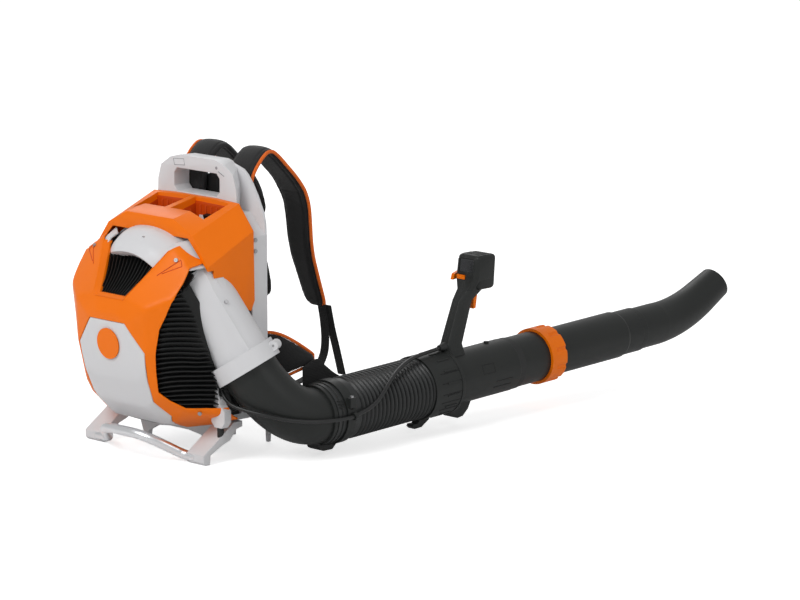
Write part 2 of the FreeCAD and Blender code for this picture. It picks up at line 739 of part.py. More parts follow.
def hose_clamp():
    """Band clamp over the hose's rear end."""
    y1 = CLAMP_Y0 + CLAMP_WIDTH
    band = tube_ring(HOSE_END_R + 3, HOSE_END_R + TOUCH, CLAMP_Y0, y1)
    centre = clamp_lug()
    lug = box(centre.x - 6, centre.x + 4, centre.y - 7, centre.y + 7, centre.z - 9, centre.z + 9)
    bore = rod(HOSE_END_R + TOUCH, on_tube(CLAMP_Y0 - 5), on_tube(y1 + 5))
    hole = rod(2.6, centre - Vector(0, 0, 12), centre + Vector(0, 0, 12))
    return largest(fuse([band, lug.cut(bore)]).cut(hole))


def clamp_screw():
    """Screw through the hose clamp's lug."""
    return screw(clamp_lug() + Vector(0, 0, 9 + TOUCH), Vector(0, 0, 1), 3.2, 2.3, 18.0)


def bellows():
    """Ribbed hose with plain ends, built along X and then laid on the tube's axis."""
    pitch = (RIBS_Y1 - RIBS_Y0) / RIB_COUNT
    length = (HOSE_Y1 - HOSE_Y0) / math.cos(math.radians(TUBE_RISE))
    first = RIBS_Y0 - HOSE_Y0
    circles = [(0, HOSE_END_R), (first - 4, HOSE_END_R)]
    for i in range(RIB_COUNT):
        x = first + i * pitch
        circles += [(x, RIB_ROOT_R), (x + 0.3 * pitch, RIB_CREST_R),
                    (x + 0.6 * pitch, RIB_CREST_R), (x + 0.9 * pitch, RIB_ROOT_R)]
    circles += [(first + RIB_COUNT * pitch + 2, HOSE_END_R), (length, HOSE_END_R)]
    axis = Vector(1, 0, 0)
    outer = loft([circle_wire(r, Vector(x, 0, 0), axis) for x, r in circles])
    outer = outer.cut(Part.makeCylinder(HOSE_BORE_R, length + 2, Vector(-1, 0, 0), axis))
    seat = ELBOW_R - 2 + TOUCH
    outer = outer.cut(Part.makeCylinder(seat, 41, Vector(-1, 0, 0), axis))
    front = Part.makeCylinder(HANDLE_TUBE_R + GAP, 24, Vector(length - 22, 0, 0), axis)
    outer = outer.cut(front)
    outer.Placement = Placement(on_tube(HOSE_Y0), Rotation(axis, tube_axis()))
    return outer


def hose_cuff():
    """Clamping cuff over the hose's front end, with grip ribs and a hook below."""
    body = tube_ring(CUFF_R, HOSE_END_R + GAP, CUFF_Y0, CUFF_Y1)
    lip = tube_ring(CUFF_R + 1, HANDLE_TUBE_R + TOUCH, CUFF_Y1 - 7, CUFF_Y1)
    bars = []
    for i in range(16):
        bar = box(-1.6, 1.6, 0, 30, CUFF_R - 1, CUFF_R + 1.2)
        bar.Placement = Placement(on_tube(CUFF_Y0 + 30), Rotation(Vector(0, 1, 0), tube_axis()))
        bar.rotate(on_tube(CUFF_Y0), tube_axis(), 22.5 * i + 11.25)
        bars.append(bar)
    low = on_tube(250).z - CUFF_R
    hook = prism_x([(270, low + 5), (270, low - 2), (258, low - 9), (250, low - 14), (232, low - 15),
                    (226, low - 10), (229, low - 6), (240, low - 6), (247, low + 3)], TUBE_X - 8, TUBE_X + 8)
    inside = rod(HOSE_END_R + GAP, on_tube(CUFF_Y0), on_tube(CUFF_Y1 - 3))
    ribs = rod(RIB_CREST_R + 2, on_tube(150), on_tube(CUFF_Y0 + 0.1))
    shape = fuse([body, lip, hook.cut(inside).cut(ribs)] + bars)
    return largest(shape.cut(handle_solid(-TOUCH)))


def handle_tube():
    """Rigid tube that carries the control handle, with a keel below and a stepped front end."""
    bore = BLOW_TUBE_R + 0.4
    body = tube_ring(HANDLE_TUBE_R, HANDLE_TUBE_R - WALL, HOSE_Y1 - 20, HANDLE_TUBE_Y1)
    shoulder = tube_ring(HANDLE_TUBE_R, bore, HANDLE_TUBE_Y1 - 4, HANDLE_TUBE_Y1)
    neck = tube_ring(BAND_R - 1, bore, HANDLE_TUBE_Y1 - 1, NECK_Y1 - 1)
    lip = tube_ring(BAND_R, bore, BAND_Y1, NECK_Y1 - 1)
    stud = rod(5, on_tube(430) + Vector(0, 0, HANDLE_TUBE_R - 2), on_tube(430) + Vector(0, 0, HANDLE_TUBE_R + 3))
    keel = prism_x([(316, 46), (320, 30), (330, 17), (340, 14), (354, 16), (368, 28), (378, 46)],
                   TUBE_X - 13, TUBE_X + 13)
    keel = keel.cut(rod(HANDLE_TUBE_R - 1, on_tube(300), on_tube(400)))
    return fuse([body, shoulder, neck, lip, stud, keel])


def end_band():
    """Dark rubber band at the handle tube's front."""
    return tube_ring(HANDLE_TUBE_R - 0.6, BAND_R - 1 + TOUCH, HANDLE_TUBE_Y1 + TOUCH, BAND_Y1 - TOUCH)


def union_ring():
    """Orange clamping ring with finger notches."""
    rear = tube_ring(RING_R, BAND_R + GAP, RING_Y0, NECK_Y1 + 1)
    front = tube_ring(RING_R, BLOW_TUBE_R + 0.6, NECK_Y1, RING_Y1)
    shape = fuse([rear, front])
    notches = []
    for i in range(10):
        notch = rod(6, on_tube(RING_Y0 + 12), on_tube(RING_Y1 + 1))
        notch.translate(Vector(0, 0, RING_R + 3.5))
        notch.rotate(on_tube(RING_Y0), tube_axis(), 36 * i)
        notches.append(notch)
    return shape.cut(Part.makeCompound(notches))


def blow_tube():
    """Straight outer tube that slides in the handle tube."""
    wall = 2.4
    main = rod(BLOW_TUBE_R, on_tube(BLOW_TUBE_Y0), on_tube(BLOW_TUBE_Y1))
    step = cone(BLOW_TUBE_R, BLOW_NECK_R, on_tube(BLOW_TUBE_Y1), on_tube(BLOW_TUBE_Y1 + 6))
    neck = rod(BLOW_NECK_R, on_tube(BLOW_TUBE_Y1 + 5), on_tube(BLOW_NECK_Y1))
    bore = rod(BLOW_TUBE_R - wall, on_tube(BLOW_TUBE_Y0 - 1), on_tube(BLOW_TUBE_Y1 - 4))
    reduce = cone(BLOW_TUBE_R - wall, BLOW_NECK_R - wall, on_tube(BLOW_TUBE_Y1 - 4.1), on_tube(BLOW_TUBE_Y1 + 3))
    mouth = rod(BLOW_NECK_R - wall, on_tube(BLOW_TUBE_Y1 + 2.9), on_tube(BLOW_NECK_Y1 + 1))
    return fuse([main, step, neck]).cut(bore).cut(reduce).cut(mouth)


def nozzle_path():
    """Centre line of the nozzle: straight, a gentle bend upwards and straight."""
    axis = tube_axis()
    start = on_tube(BLOW_NECK_Y1)
    bend = on_tube(NOZZLE_BEND_Y)
    up = Vector(1, 0, 0).cross(axis)
    centre = bend + up * NOZZLE_BEND_R
    half = math.radians(NOZZLE_BEND / 2)
    full = math.radians(NOZZLE_BEND)

    def on_arc(angle):
        return centre + axis * (NOZZLE_BEND_R * math.sin(angle)) - up * (NOZZLE_BEND_R * math.cos(angle))

    end_axis = axis * math.cos(full) + up * math.sin(full)
    end = on_arc(full)
    return start, bend, on_arc(half), end, end_axis


def nozzle_solid(inner):
    """Nozzle's outer form, drawn in by inner."""
    start, bend, middle, end, end_axis = nozzle_path()
    axis = tube_axis()
    straight = rod(NOZZLE_R - inner, start, bend)
    wires = [circle_wire(NOZZLE_R - inner, bend, axis)]
    mid_axis = (axis + end_axis).normalize()
    share = (NOZZLE_R - NOZZLE_MOUTH_R) / 3
    wires.append(circle_wire(NOZZLE_R - share - inner, middle, mid_axis))
    wires.append(circle_wire(NOZZLE_R - 2 * share - inner, end, end_axis))
    bent = loft(wires, ruled=False)
    lip = cone(NOZZLE_R - 2 * share - inner, NOZZLE_MOUTH_R - inner, end, end + end_axis * NOZZLE_LIP)
    return fuse([straight, bent, lip])


def nozzle():
    """Bent nozzle with a tail that seats in the blow tube's neck."""
    wall = 2.4
    tail_r = BLOW_NECK_R - wall - GAP
    tail = rod(tail_r, on_tube(BLOW_NECK_Y1 - NOZZLE_TAIL), on_tube(BLOW_NECK_Y1 + 3))
    rim = rod(BLOW_NECK_R, on_tube(BLOW_NECK_Y1 + GAP), on_tube(BLOW_NECK_Y1 + 12))
    start, bend, middle, end, end_axis = nozzle_path()
    body = nozzle_solid(0).cut(rod(NOZZLE_R + 5, on_tube(BLOW_NECK_Y1 - 2), on_tube(BLOW_NECK_Y1 + GAP)))
    shape = fuse([tail, rim, body])
    bore = rod(tail_r - wall, on_tube(BLOW_NECK_Y1 - NOZZLE_TAIL - 1), on_tube(NOZZLE_BEND_Y))
    mouth = end + end_axis * NOZZLE_LIP
    open_end = rod(NOZZLE_MOUTH_R - wall, mouth - end_axis * 3, mouth + end_axis * 5)
    return shape.cut(nozzle_solid(wall)).cut(bore).cut(open_end)


def handle_point(y, z):
    """Point on the control handle's centre plane."""
    return Vector(TUBE_X, y, z)


def chamfered_section(y, z, width, depth, chamfer):
    """Level eight-sided section of the control handle."""
    half_w = width / 2
    half_d = depth / 2
    corners = [(half_w, half_d - chamfer), (half_w - chamfer, half_d), (-half_w + chamfer, half_d),
               (-half_w, half_d - chamfer), (-half_w, -half_d + chamfer), (-half_w + chamfer, -half_d),
               (half_w - chamfer, -half_d), (half_w, -half_d + chamfer)]
    points = [Vector(TUBE_X + x, y + dy, z) for x, dy in corners]
    return Part.makePolygon(points + points[:1])


def handle_solid(inner):
    """Outer form of the control handle, drawn in by inner."""
    head_low = HANDLE_HEAD_Z - HEAD_HEIGHT / 2
    head_top = HANDLE_HEAD_Z + HEAD_HEIGHT / 2
    tube_top = on_tube(HANDLE_BASE_Y).z + HANDLE_TUBE_R
    stations = [
        (HANDLE_BASE_Y - 2, tube_top - 8 + inner, GRIP_WIDTH + 14, GRIP_DEPTH + 20),
        (HANDLE_BASE_Y + 2, tube_top + 16, GRIP_WIDTH + 2, GRIP_DEPTH + 4),
        (HANDLE_HEAD_Y - 34, head_low - 16, GRIP_WIDTH, GRIP_DEPTH),
        (HANDLE_HEAD_Y - 14, head_low + 2, GRIP_WIDTH + 8, GRIP_DEPTH + 6),
        (HANDLE_HEAD_Y - 3, head_low + 22, HEAD_WIDTH, HEAD_DEPTH),
        (HANDLE_HEAD_Y + 1, head_top - 10, HEAD_WIDTH, HEAD_DEPTH - 2),
        (HANDLE_HEAD_Y + 2, head_top - inner, HEAD_WIDTH - 10, HEAD_DEPTH - 12),
    ]
    wires = [chamfered_section(y, z, w - 2 * inner, d - 2 * inner, 7) for y, z, w, d in stations]
    return loft(wires)


def trigger_pivot():
    """Centre of the trigger's stub axles."""
    return handle_point(HANDLE_HEAD_Y - 10, HANDLE_HEAD_Z - HEAD_HEIGHT / 2 + 1)


def trigger():
    """Finger trigger on the handle's front, with stub axles."""
    pivot = trigger_pivot()
    outline = [(pivot.y - 4, pivot.z + 4), (pivot.y + 6, pivot.z + 4), (pivot.y + 10, pivot.z - 4),
               (pivot.y + 5, pivot.z - 35), (pivot.y - 1, pivot.z - 36), (pivot.y - 1, pivot.z - 10),
               (pivot.y - 5, pivot.z - 6)]
    blade = prism_x(outline, TUBE_X - 7, TUBE_X + 7)
    return fuse([blade, rod(2.0, pivot - Vector(11, 0, 0), pivot + Vector(11, 0, 0))])


def trigger_room():
    """Space that the trigger sweeps."""
    pivot = trigger_pivot()
    return box(TUBE_X - 8, TUBE_X + 8, pivot.y - 17, pivot.y + 30, pivot.z - 40, pivot.z + 8)


def lever_pivot():
    """Centre of the thumb lever on the handle's left side."""
    return Vector(TUBE_X - HEAD_WIDTH / 2, HANDLE_HEAD_Y - 6, HANDLE_HEAD_Z - 6)


def thumb_lever():
    """Speed lever on the handle's left side."""
    pivot = lever_pivot()
    hub = rod(8, pivot - Vector(5, 0, 0), pivot - Vector(TOUCH, 0, 0))
    arm = prism_x([(pivot.y - 22, pivot.z - 10), (pivot.y - 4, pivot.z - 8), (pivot.y, pivot.z + 6),
                   (pivot.y - 18, pivot.z + 1)], pivot.x - 8, pivot.x - 1)
    stem = rod(3, pivot - Vector(1, 0, 0), pivot + Vector(8, 0, 0))
    return fuse([hub, arm, stem])


def button_seat():
    """Centre of the start button on the handle's rear face."""
    return Vector(TUBE_X - 10, HANDLE_HEAD_Y - HEAD_DEPTH / 2 - 2, HANDLE_HEAD_Z - 8)


def start_button():
    """Oblong push button."""
    seat = button_seat()
    return box(seat.x - 10, seat.x + 10, seat.y - 2, seat.y + 10, seat.z - 4, seat.z + 4)


def handle_shells():
    """Left and right moulding of the control handle."""
    shell = handle_solid(0).cut(handle_solid(2.5))
    seat = button_seat()
    window = box(seat.x - 10.4, seat.x + 10.4, seat.y - 20, seat.y + 16, seat.z - 4.4, seat.z + 4.4)
    display = box(TUBE_X - 17, TUBE_X + 17, seat.y - 20, seat.y + 14, HANDLE_HEAD_Z + 2, HANDLE_HEAD_Z + 26)
    pivot = lever_pivot()
    hole = rod(3.2, pivot - Vector(12, 0, 0), pivot + Vector(12, 0, 0))
    tube = rod(HANDLE_TUBE_R + 0.1, on_tube(HOSE_Y1 - 21), on_tube(HANDLE_TUBE_Y1))
    cuff = rod(CUFF_R + 1.6, on_tube(CUFF_Y0 - 1), on_tube(CUFF_Y1 + TOUCH))
    shell = shell.cut(window).cut(display).cut(hole).cut(tube).cut(cuff).cut(trigger_room())
    bosses = []
    for sign in (1, -1):
        end = trigger_pivot() + Vector(sign * 8.0, 0, 0)
        bosses.append(rod(4.5, end, end + Vector(sign * 8, 0, 0)).common(handle_solid(0)))
    axle = rod(2.0 + GAP, trigger_pivot() - Vector(11.5, 0, 0), trigger_pivot() + Vector(11.5, 0, 0))
    shell = fuse([shell] + bosses).cut(axle)
    left = largest(shell.common(box(TUBE_X - 80, TUBE_X - 0.1, 200, 520, 90, 400)))
    right = largest(shell.common(box(TUBE_X + 0.1, TUBE_X + 80, 200, 520, 90, 400)))
    return left, right


def display_window():
    """Flush display in the handle's rear face."""
    seat = button_seat()
    pane = box(TUBE_X - 16.8, TUBE_X + 16.8, seat.y - 6, seat.y + 12, HANDLE_HEAD_Z + 2.2, HANDLE_HEAD_Z + 25.8)
    return largest(pane.common(handle_solid(1.0)).cut(handle_solid(3.0)))


def strain_relief():
    """Tapered sleeve where the cable enters the handle."""
    end = Vector(*CABLE_UPPER[-1])
    direction = (end - Vector(*CABLE_UPPER[-2])).normalize()
    sleeve = cone(CABLE_R + 2, CABLE_R + 4, end + direction * TOUCH, end + direction * 16)
    cuff = rod(CUFF_R + 1.6, on_tube(CUFF_Y0), on_tube(CUFF_Y1 + TOUCH))
    return largest(sleeve.cut(handle_solid(0)).cut(cuff))


def cable_gland():
    """Gland where the cable leaves the machine beside the elbow."""
    start = Vector(*CABLE_LOWER[0])
    direction = (Vector(*CABLE_LOWER[1]) - start).normalize()
    body = rod(CABLE_R + 3, start - direction * 7, start - direction * TOUCH)
    wall = pipe_along(elbow_path(-12, SPIGOT_Y), ELBOW_R + TOUCH)
    return largest(body.cut(wall).cut(duct_clearance()))


def cable_clip():
    """Clip that carries the cable beside the hose clamp."""
    a = Vector(*CABLE_LOWER[-1])
    b = Vector(*CABLE_UPPER[0])
    body = rod(CABLE_R + 3, a + (b - a) * 0.08, b - (b - a) * 0.08)
    centre = (a + b) * 0.5
    stem = box(centre.x - 12, centre.x, centre.y - 3, centre.y + 3, centre.z - 4, centre.z + 4)
    hose = rod(HOSE_END_R + TOUCH, on_tube(SPIGOT_Y), on_tube(120))
    clamp = rod(HOSE_END_R + 3 + TOUCH, on_tube(CLAMP_Y0 - 0.2), on_tube(CLAMP_Y0 + CLAMP_WIDTH + 0.2))
    return largest(fuse([body, stem]).cut(hose).cut(clamp))


def battery_housing():
    """Orange upper housing with two open battery bays and side wings."""
    rear = mirrored(((151, 300), (150, 352), (111, 404), (62, 429)))
    front = mirrored(((151, 258), (149, 404), (112, 449), (54, 452)))

    def body(depth):
        rear_y = -193.0 + depth
        wires = []
        for y, outline in ((rear_y, rear), (HOUSING_FRONT_Y - depth * 0.3, front)):
            shape = inset(outline, depth) if depth else outline
            wires.append(Part.makePolygon([Vector(x, y, z) for x, z in shape + shape[:1]]))
        return loft(wires)

    shell = body(0.0).cut(body(WALL))
    walls = []
    cavities = []
    for sign in (1, -1):
        x0, x1 = sorted((sign * BAY_X0, sign * BAY_X1))
        walls.append(box(x0 - 3, x1 + 3, BAY_Y0 - 3, BAY_Y1 + 3, BAY_FLOOR_Z - 3, 460))
        cavities.append(box(x0, x1, BAY_Y0, BAY_Y1, BAY_FLOOR_Z, 470))
    bays = Part.makeCompound(walls).common(body(0.5))
    shell = fuse([shell, bays]).cut(Part.makeCompound(cavities))
    under = prism_x([(-200, 200), (-200, 330), (-176, 330), (-130, 300), (-91, 258), (-70, 300), (-70, 200)],
                    -200, 200)
    shell = shell.cut(under)
    shell = shell.cut(box(-147, 147, -200, -60, 200, BAY_FLOOR_Z - 3.1))
    shell = shell.cut(casing_envelope(GAP)).cut(duct_clearance()).cut(dome(-GAP))
    return largest(shell)


def bay_liners():
    """Light grey liner on the floor and front wall of each bay, with the latch's ears."""
    liners = []
    for sign in (1, -1):
        x0, x1 = sorted((sign * (BAY_X0 + TOUCH), sign * (BAY_X1 - TOUCH)))
        floor = box(x0, x1, BAY_Y0 + TOUCH, BAY_Y1 - TOUCH, BAY_FLOOR_Z + TOUCH, BAY_FLOOR_Z + 2)
        wall = box(x0, x1, BAY_Y1 - 2, BAY_Y1 - TOUCH, BAY_FLOOR_Z + 1, 440)
        pivot = latch_pivot(sign)
        ears = [box(pivot.x + a, pivot.x + b, pivot.y - 5, BAY_Y1 - 1, pivot.z - 5, pivot.z + 5)
                for a, b in ((-18, -13.4), (13.4, 18))]
        axle = rod(2.0 + GAP, pivot - Vector(20, 0, 0), pivot + Vector(20, 0, 0))
        liners.append(largest(fuse([floor, wall] + ears).cut(axle).cut(casing_envelope(GAP))))
    return Part.makeCompound(liners)


def battery_contacts():
    """Contact block with four blades on each bay's floor."""
    blocks = []
    for sign in (1, -1):
        x = sign * (BAY_X0 + BAY_X1) / 2
        y = (BAY_Y0 + BAY_Y1) / 2
        z = BAY_FLOOR_Z + 2 + TOUCH
        blades = [box(x - 18.8 + 12 * i, x - 17.2 + 12 * i, y - 6, y + 6, z + 11, z + 26) for i in range(4)]
        blocks.append(fuse([box(x - 24, x + 24, y - 10, y + 10, z, z + 12)] + blades))
    return Part.makeCompound(blocks)


def latch_pivot(sign):
    """Pin centre of a battery latch."""
    return Vector(sign * (BAY_X0 + BAY_X1) / 2, BAY_Y1 - 6, 398)


def battery_latch(sign):
    """Sprung latch on a bay's front wall, with stub axles."""
    pivot = latch_pivot(sign)
    outline = [(pivot.y - 3, pivot.z - 6), (pivot.y + 1, pivot.z - 6), (pivot.y + 3, pivot.z - 2),
               (pivot.y + 3, pivot.z + 26), (pivot.y - 6, pivot.z + 24), (pivot.y - 3, pivot.z + 16)]
    blade = prism_x(outline, pivot.x - 13, pivot.x + 13)
    return fuse([blade, rod(2.0, pivot - Vector(17, 0, 0), pivot + Vector(17, 0, 0))])


def controller_box():
    """Control electronics between the fan casing and the back plate."""
    base = box(-DECK_HALF_WIDTH, DECK_HALF_WIDTH, -148, -84, DECK_Z1 + TOUCH, 118)
    tower = box(-72, 72, -148, -84, 117, 250)
    fins = [box(-66 + 13 * i, -62 + 13 * i, -84.1, -79.5, 90, 240) for i in range(10)]
    return fuse([base, tower] + fins)


def battery_leads():
    """Leads from the bays down to the control electronics."""
    leads = []
    for sign in (1, -1):
        x = sign * (BAY_X0 + BAY_X1) / 2
        low = x - sign * 6
        route = ((x, -104, BAY_FLOOR_Z - 3 - TOUCH), (x, -104, 300), (low, -100, 282), (low, -100, 250 + TOUCH))
        leads.append(cord("battery lead", route, 3.0))
    return Part.makeCompound(leads)


def carry_handle():
    """Handle loop, wide at the rear and narrower at the front."""
    rear = mirrored(((105, 424), (103, 472), (95, 498), (70, 514), (46, HANDLE_TOP_Z)))
    front = mirrored(((76, 424), (76, 478), (68, 505), (56, 516), (44, HANDLE_TOP_Z - 1)))
    wires = []
    for y, outline in ((PLATE_REAR_Y, rear), (PLATE_FRONT_Y, front)):
        wires.append(Part.makePolygon([Vector(x, y, z) for x, z in outline + outline[:1]]))
    flange = mirrored(((PLATE_HALF_WIDTH, 380), (142, 411), (138, 429), (123, 459), (110, 480), (97, 496),
                       (87, 504), (64, 511), (44, HANDLE_TOP_Z - 1)))
    handle = fuse([loft(wires), prism_y(flange, PLATE_FRONT_Y - 5, PLATE_FRONT_Y)])
    hole = mirrored(((52, 454), (60, 463), (60, 487), (52, 496)))
    return handle.cut(prism_y(hole, PLATE_REAR_Y - 1, PLATE_FRONT_Y + 1))


def back_plate():
    """Load-bearing back plate with the carry handle."""
    outline = mirrored(((112, DECK_Z1 + TOUCH), (PLATE_HALF_WIDTH - 10, 110), (PLATE_HALF_WIDTH, 200),
                        (PLATE_HALF_WIDTH, 392), (106, 430)))
    tray = prism_y(outline, PLATE_REAR_Y, PLATE_FRONT_Y)
    hollow = prism_y(inset(outline, 4), PLATE_REAR_Y - 1, PLATE_FRONT_Y - 4)
    tray = tray.cut(hollow)
    ribs = [box(x - 2, x + 2, PLATE_REAR_Y + 12, PLATE_FRONT_Y - 3, 270, 427) for x in (-100, 0, 100)]
    return largest(fuse([tray, carry_handle()] + ribs).cut(duct_clearance()))


def base_frame():
    """Stand base: two rising rear legs, a deck, an arched cross wall and front feet."""
    leg = [(-214, 5), (-209, 0), (-199, 0), (-197, 17), (-170, 30), (-150, 37), (-134, 55),
           (-120, DECK_Z0 + 1), (-120, DECK_Z1), (-140, DECK_Z1), (-178, 42), (-204, 25), (-214, 18)]
    parts = [prism_x(leg, *sorted((sign * LEG_X0, sign * LEG_X1))) for sign in (1, -1)]
    parts.append(box(-LEG_X0 - 1, LEG_X0 + 1, -142, -120, DECK_Z0 + 1, DECK_Z1))
    parts.append(box(-DECK_HALF_WIDTH, DECK_HALF_WIDTH, -140, 4, DECK_Z0, DECK_Z1))
    parts.append(box(-75, 75, -174, -139, DECK_Z0 + 1, DECK_Z1))
    arch = mirrored(((82, 6), (94, 6), (104, 30), (108, DECK_Z1 - 1)))
    void = mirrored(((82, 5), (80, 16), (57, 28), (25, 32)))
    parts.append(prism_y(arch, ARCH_Y - 4, ARCH_Y + 4).cut(prism_y(void, ARCH_Y - 5, ARCH_Y + 5)))
    parts.append(prism_x([(-22, 0), (4, 0), (4, DECK_Z0 + 1), (-34, DECK_Z0 + 1)], -9, 9))
    for x in (-98, 98):
        parts.append(prism_y([(x - 3, 1), (x + 3, 1), (x + 7, DECK_Z0 + 1), (x - 7, DECK_Z0 + 1)], -2, 4))
    return fuse(parts).cut(bar_solid(BAR_R + TOUCH))


def bar_solid(radius):
    """Bent round bar between the leg tips."""
    tip = LEG_X0 + 16
    half = [(tip, -206, BAR_Z), (LEG_X0 - 14, -208, BAR_Z + 1), (56, -262, BAR_RISE_Z)]
    path, radii = rounded_path(half + [(-x, y, z) for x, y, z in reversed(half)])
    return pipe_along(path, radius)


def stand_bar():
    """Bright bent bar."""
    return bar_solid(BAR_R)


def duct_bracket():
    """White post that ties the duct's collar to the stand's right leg."""
    post = prism_y([(146, 63), (164, 63), (172, 74), (172, 94), (160, 104), (152, 132), (142, 140), (138, 100),
                    (138, 72)], -176, -160)
    post = post.cut(casing_envelope(TOUCH)).cut(duct_clearance()).cut(dome(-GAP))
    start = Vector(*CABLE_LOWER[0])
    lead = (start - Vector(*CABLE_LOWER[1])).normalize()
    return largest(post.cut(elbow_room()).cut(rod(CABLE_R + 4, start - lead * 14, start + lead * 20)))


def elbow_room():
    """Room round the elbow that fixed pieces keep clear of while it swivels."""
    return rod(ELBOW_R + 4, on_duct(-1), on_duct(60))


def leg_clearance():
    """Space under the right leg's upper surface."""
    return prism_x([(-214, 0), (-120, 0), (-120, DECK_Z1 + TOUCH), (-140, DECK_Z1 + TOUCH), (-178, 42 + TOUCH),
                    (-214, 18)], LEG_X0, LEG_X1 + 10)


def vibration_buffers():
    """Rubber buffers under the fan casing and under the duct's post."""
    casing = [rod(10, Vector(x, -160, DECK_Z1 + TOUCH), Vector(x, -160, 120)) for x in (-60, 60)]
    casing = [min(post.cut(casing_envelope(TOUCH)).Solids, key=lambda solid: solid.BoundBox.ZMin)
              for post in casing]
    foot = rod(6, Vector(153, -168, 40), Vector(153, -168, 63 - TOUCH)).cut(leg_clearance())
    return Part.makeCompound(casing + [largest(foot)])


def strap_route(sign):
    """Middle line of a shoulder strap, from the plate over the shoulder."""
    return [Vector(sign * x, y, z) for y, z, x, width in STRAP_STATIONS]


def shoulder_strap(sign):
    """Padded shoulder strap with a crowned outside."""
    route = strap_route(sign)
    inwards = normals_along(route, Vector(-1, 0, 0))
    wires = []
    for i, (point, inward) in enumerate(zip(route, inwards)):
        thick = STRAP_THICK * (0.7 if i == len(route) - 1 else 1.0)
        base = point + inward * (thick / 2)
        wires.append(pad_section(base, Vector(1, 0, 0), inward * -1, STRAP_STATIONS[i][3], thick))
    return loft(wires, ruled=False)


def strap_bindings():
    """Piping along the outer edge of each shoulder strap."""
    strips = []
    for sign in (1, -1):
        route = strap_route(sign)
        inwards = normals_along(route, Vector(-1, 0, 0))
        wires = []
        for i, (point, inward) in enumerate(zip(route, inwards)):
            centre = point + Vector(sign * (STRAP_STATIONS[i][3] / 2 + BINDING / 2 + 0.6), 0, 0)
            wires.append(flat_section(centre + inward * (BINDING / 2), Vector(1, 0, 0), inward * -1,
                                      BINDING, BINDING))
        strips.append(loft(wires, ruled=False))
    return Part.makeCompound(strips)


def ribbon(route):
    """Flat strap along a route, with its width along X."""
    inwards = normals_along(route, Vector(-1, 0, 0))
    return loft([flat_section(point, Vector(1, 0, 0), inward, WEBBING_WIDTH, WEBBING_THICK)
                 for point, inward in zip(route, inwards)], ruled=False)


def webbing():
    """Flat straps: a load strap and a free tail below each shoulder strap, and the belt's own strap."""
    bands = []
    for sign in (1, -1):
        load = [(84, 150, 232), (93, 148, 200), (101, 143, 166), (106, 132, 140), (112, 106, 118), (116, 60, 105),
                (117, 0, 101), (117, -40, 101)]
        tail = [(96, 153, 232), (105, 155, 190), (114, 159, 150), (122, 165, 104)]
        bands += [ribbon([Vector(sign * x, y, z) for x, y, z in route]) for route in (load, tail)]
        belt = [(164, 24, 124, 40), (168, 56, 134, 44), (167, 80, 117, 44), (165, 106, 100, 42),
                (158, 146, 84, 36)]
        wires = [flat_section(Vector(sign * x, y, z), Vector(0, 0, 1), Vector(sign, 0, 0), height, WEBBING_THICK)
                 for x, y, z, height in belt]
        bands.append(loft(wires, ruled=False))
    return Part.makeCompound(bands)


def belt_route(sign):
    """Middle of a hip belt wing: points in plan with their height."""
    route = [(107, -34.5, 162), (124, -17, 163), (138, 0, 164), (149, 20, 162), (154, 40, 158), (156, 58, 153)]
    return [Vector(sign * x, y, z) for x, y, z in route]


def belt_stations(sign):
    """Point, outward direction and height at each station of a hip belt wing."""
    route = belt_route(sign)
    stations = []
    for i, (point, height) in enumerate(zip(route, BELT_HEIGHTS)):
        ahead = route[min(i + 1, len(route) - 1)] - route[max(i - 1, 0)]
        out = Vector(ahead.y, -ahead.x, 0).normalize() * sign
        stations.append((point, out, height))
    return stations


def hip_belt(sign):
    """Padded hip belt wing."""
    wires = []
    for point, out, height in belt_stations(sign):
        wires.append(pad_section(point - out * (BELT_THICK / 2), Vector(0, 0, 1), out, height, BELT_THICK))
    return loft(wires, ruled=False)


def belt_bindings():
    """Edge binding of each hip belt wing, above and below."""
    strips = []
    for sign in (1, -1):
        for edge in (1, -1):
            wires = []
            for point, out, height in belt_stations(sign):
                centre = point + Vector(0, 0, edge * (height / 2 + BINDING / 2 + 0.8)) - out * 3
                wires.append(flat_section(centre, Vector(0, 0, 1), out, BINDING, BINDING))
            strips.append(loft(wires, ruled=False))
    return Part.makeCompound(strips)


def back_pad():
    """Padded back cushion with sewn channels, its top in front of the straps' roots."""
    lower = [(124, 84, 9), (140, 87, 18), (160, 90, 23), (182, 93, 24), (200, 95, 20), (212, 99, 12),
             (220, 103, 12), (240, 110, 20), (264, 118, 25), (286, 123, 25), (304, 126, 20), (314, 127, 12),
             (322, 128, 12), (344, 129, 22), (368, 130, 24), (392, 129, 22), (414, 126, 17)]
    upper = [(434, 121, 12), (454, 116, 12), (472, 103, 12), (484, 88, 7)]
    wires = []
    for stations, y in ((lower, PLATE_FRONT_Y + GAP), (upper, PLATE_FRONT_Y + 20)):
        for z, half, thick in stations:
            wires.append(pad_section(Vector(0, y, z), Vector(1, 0, 0), Vector(0, 1, 0), 2 * half, thick))
    return loft(wires)


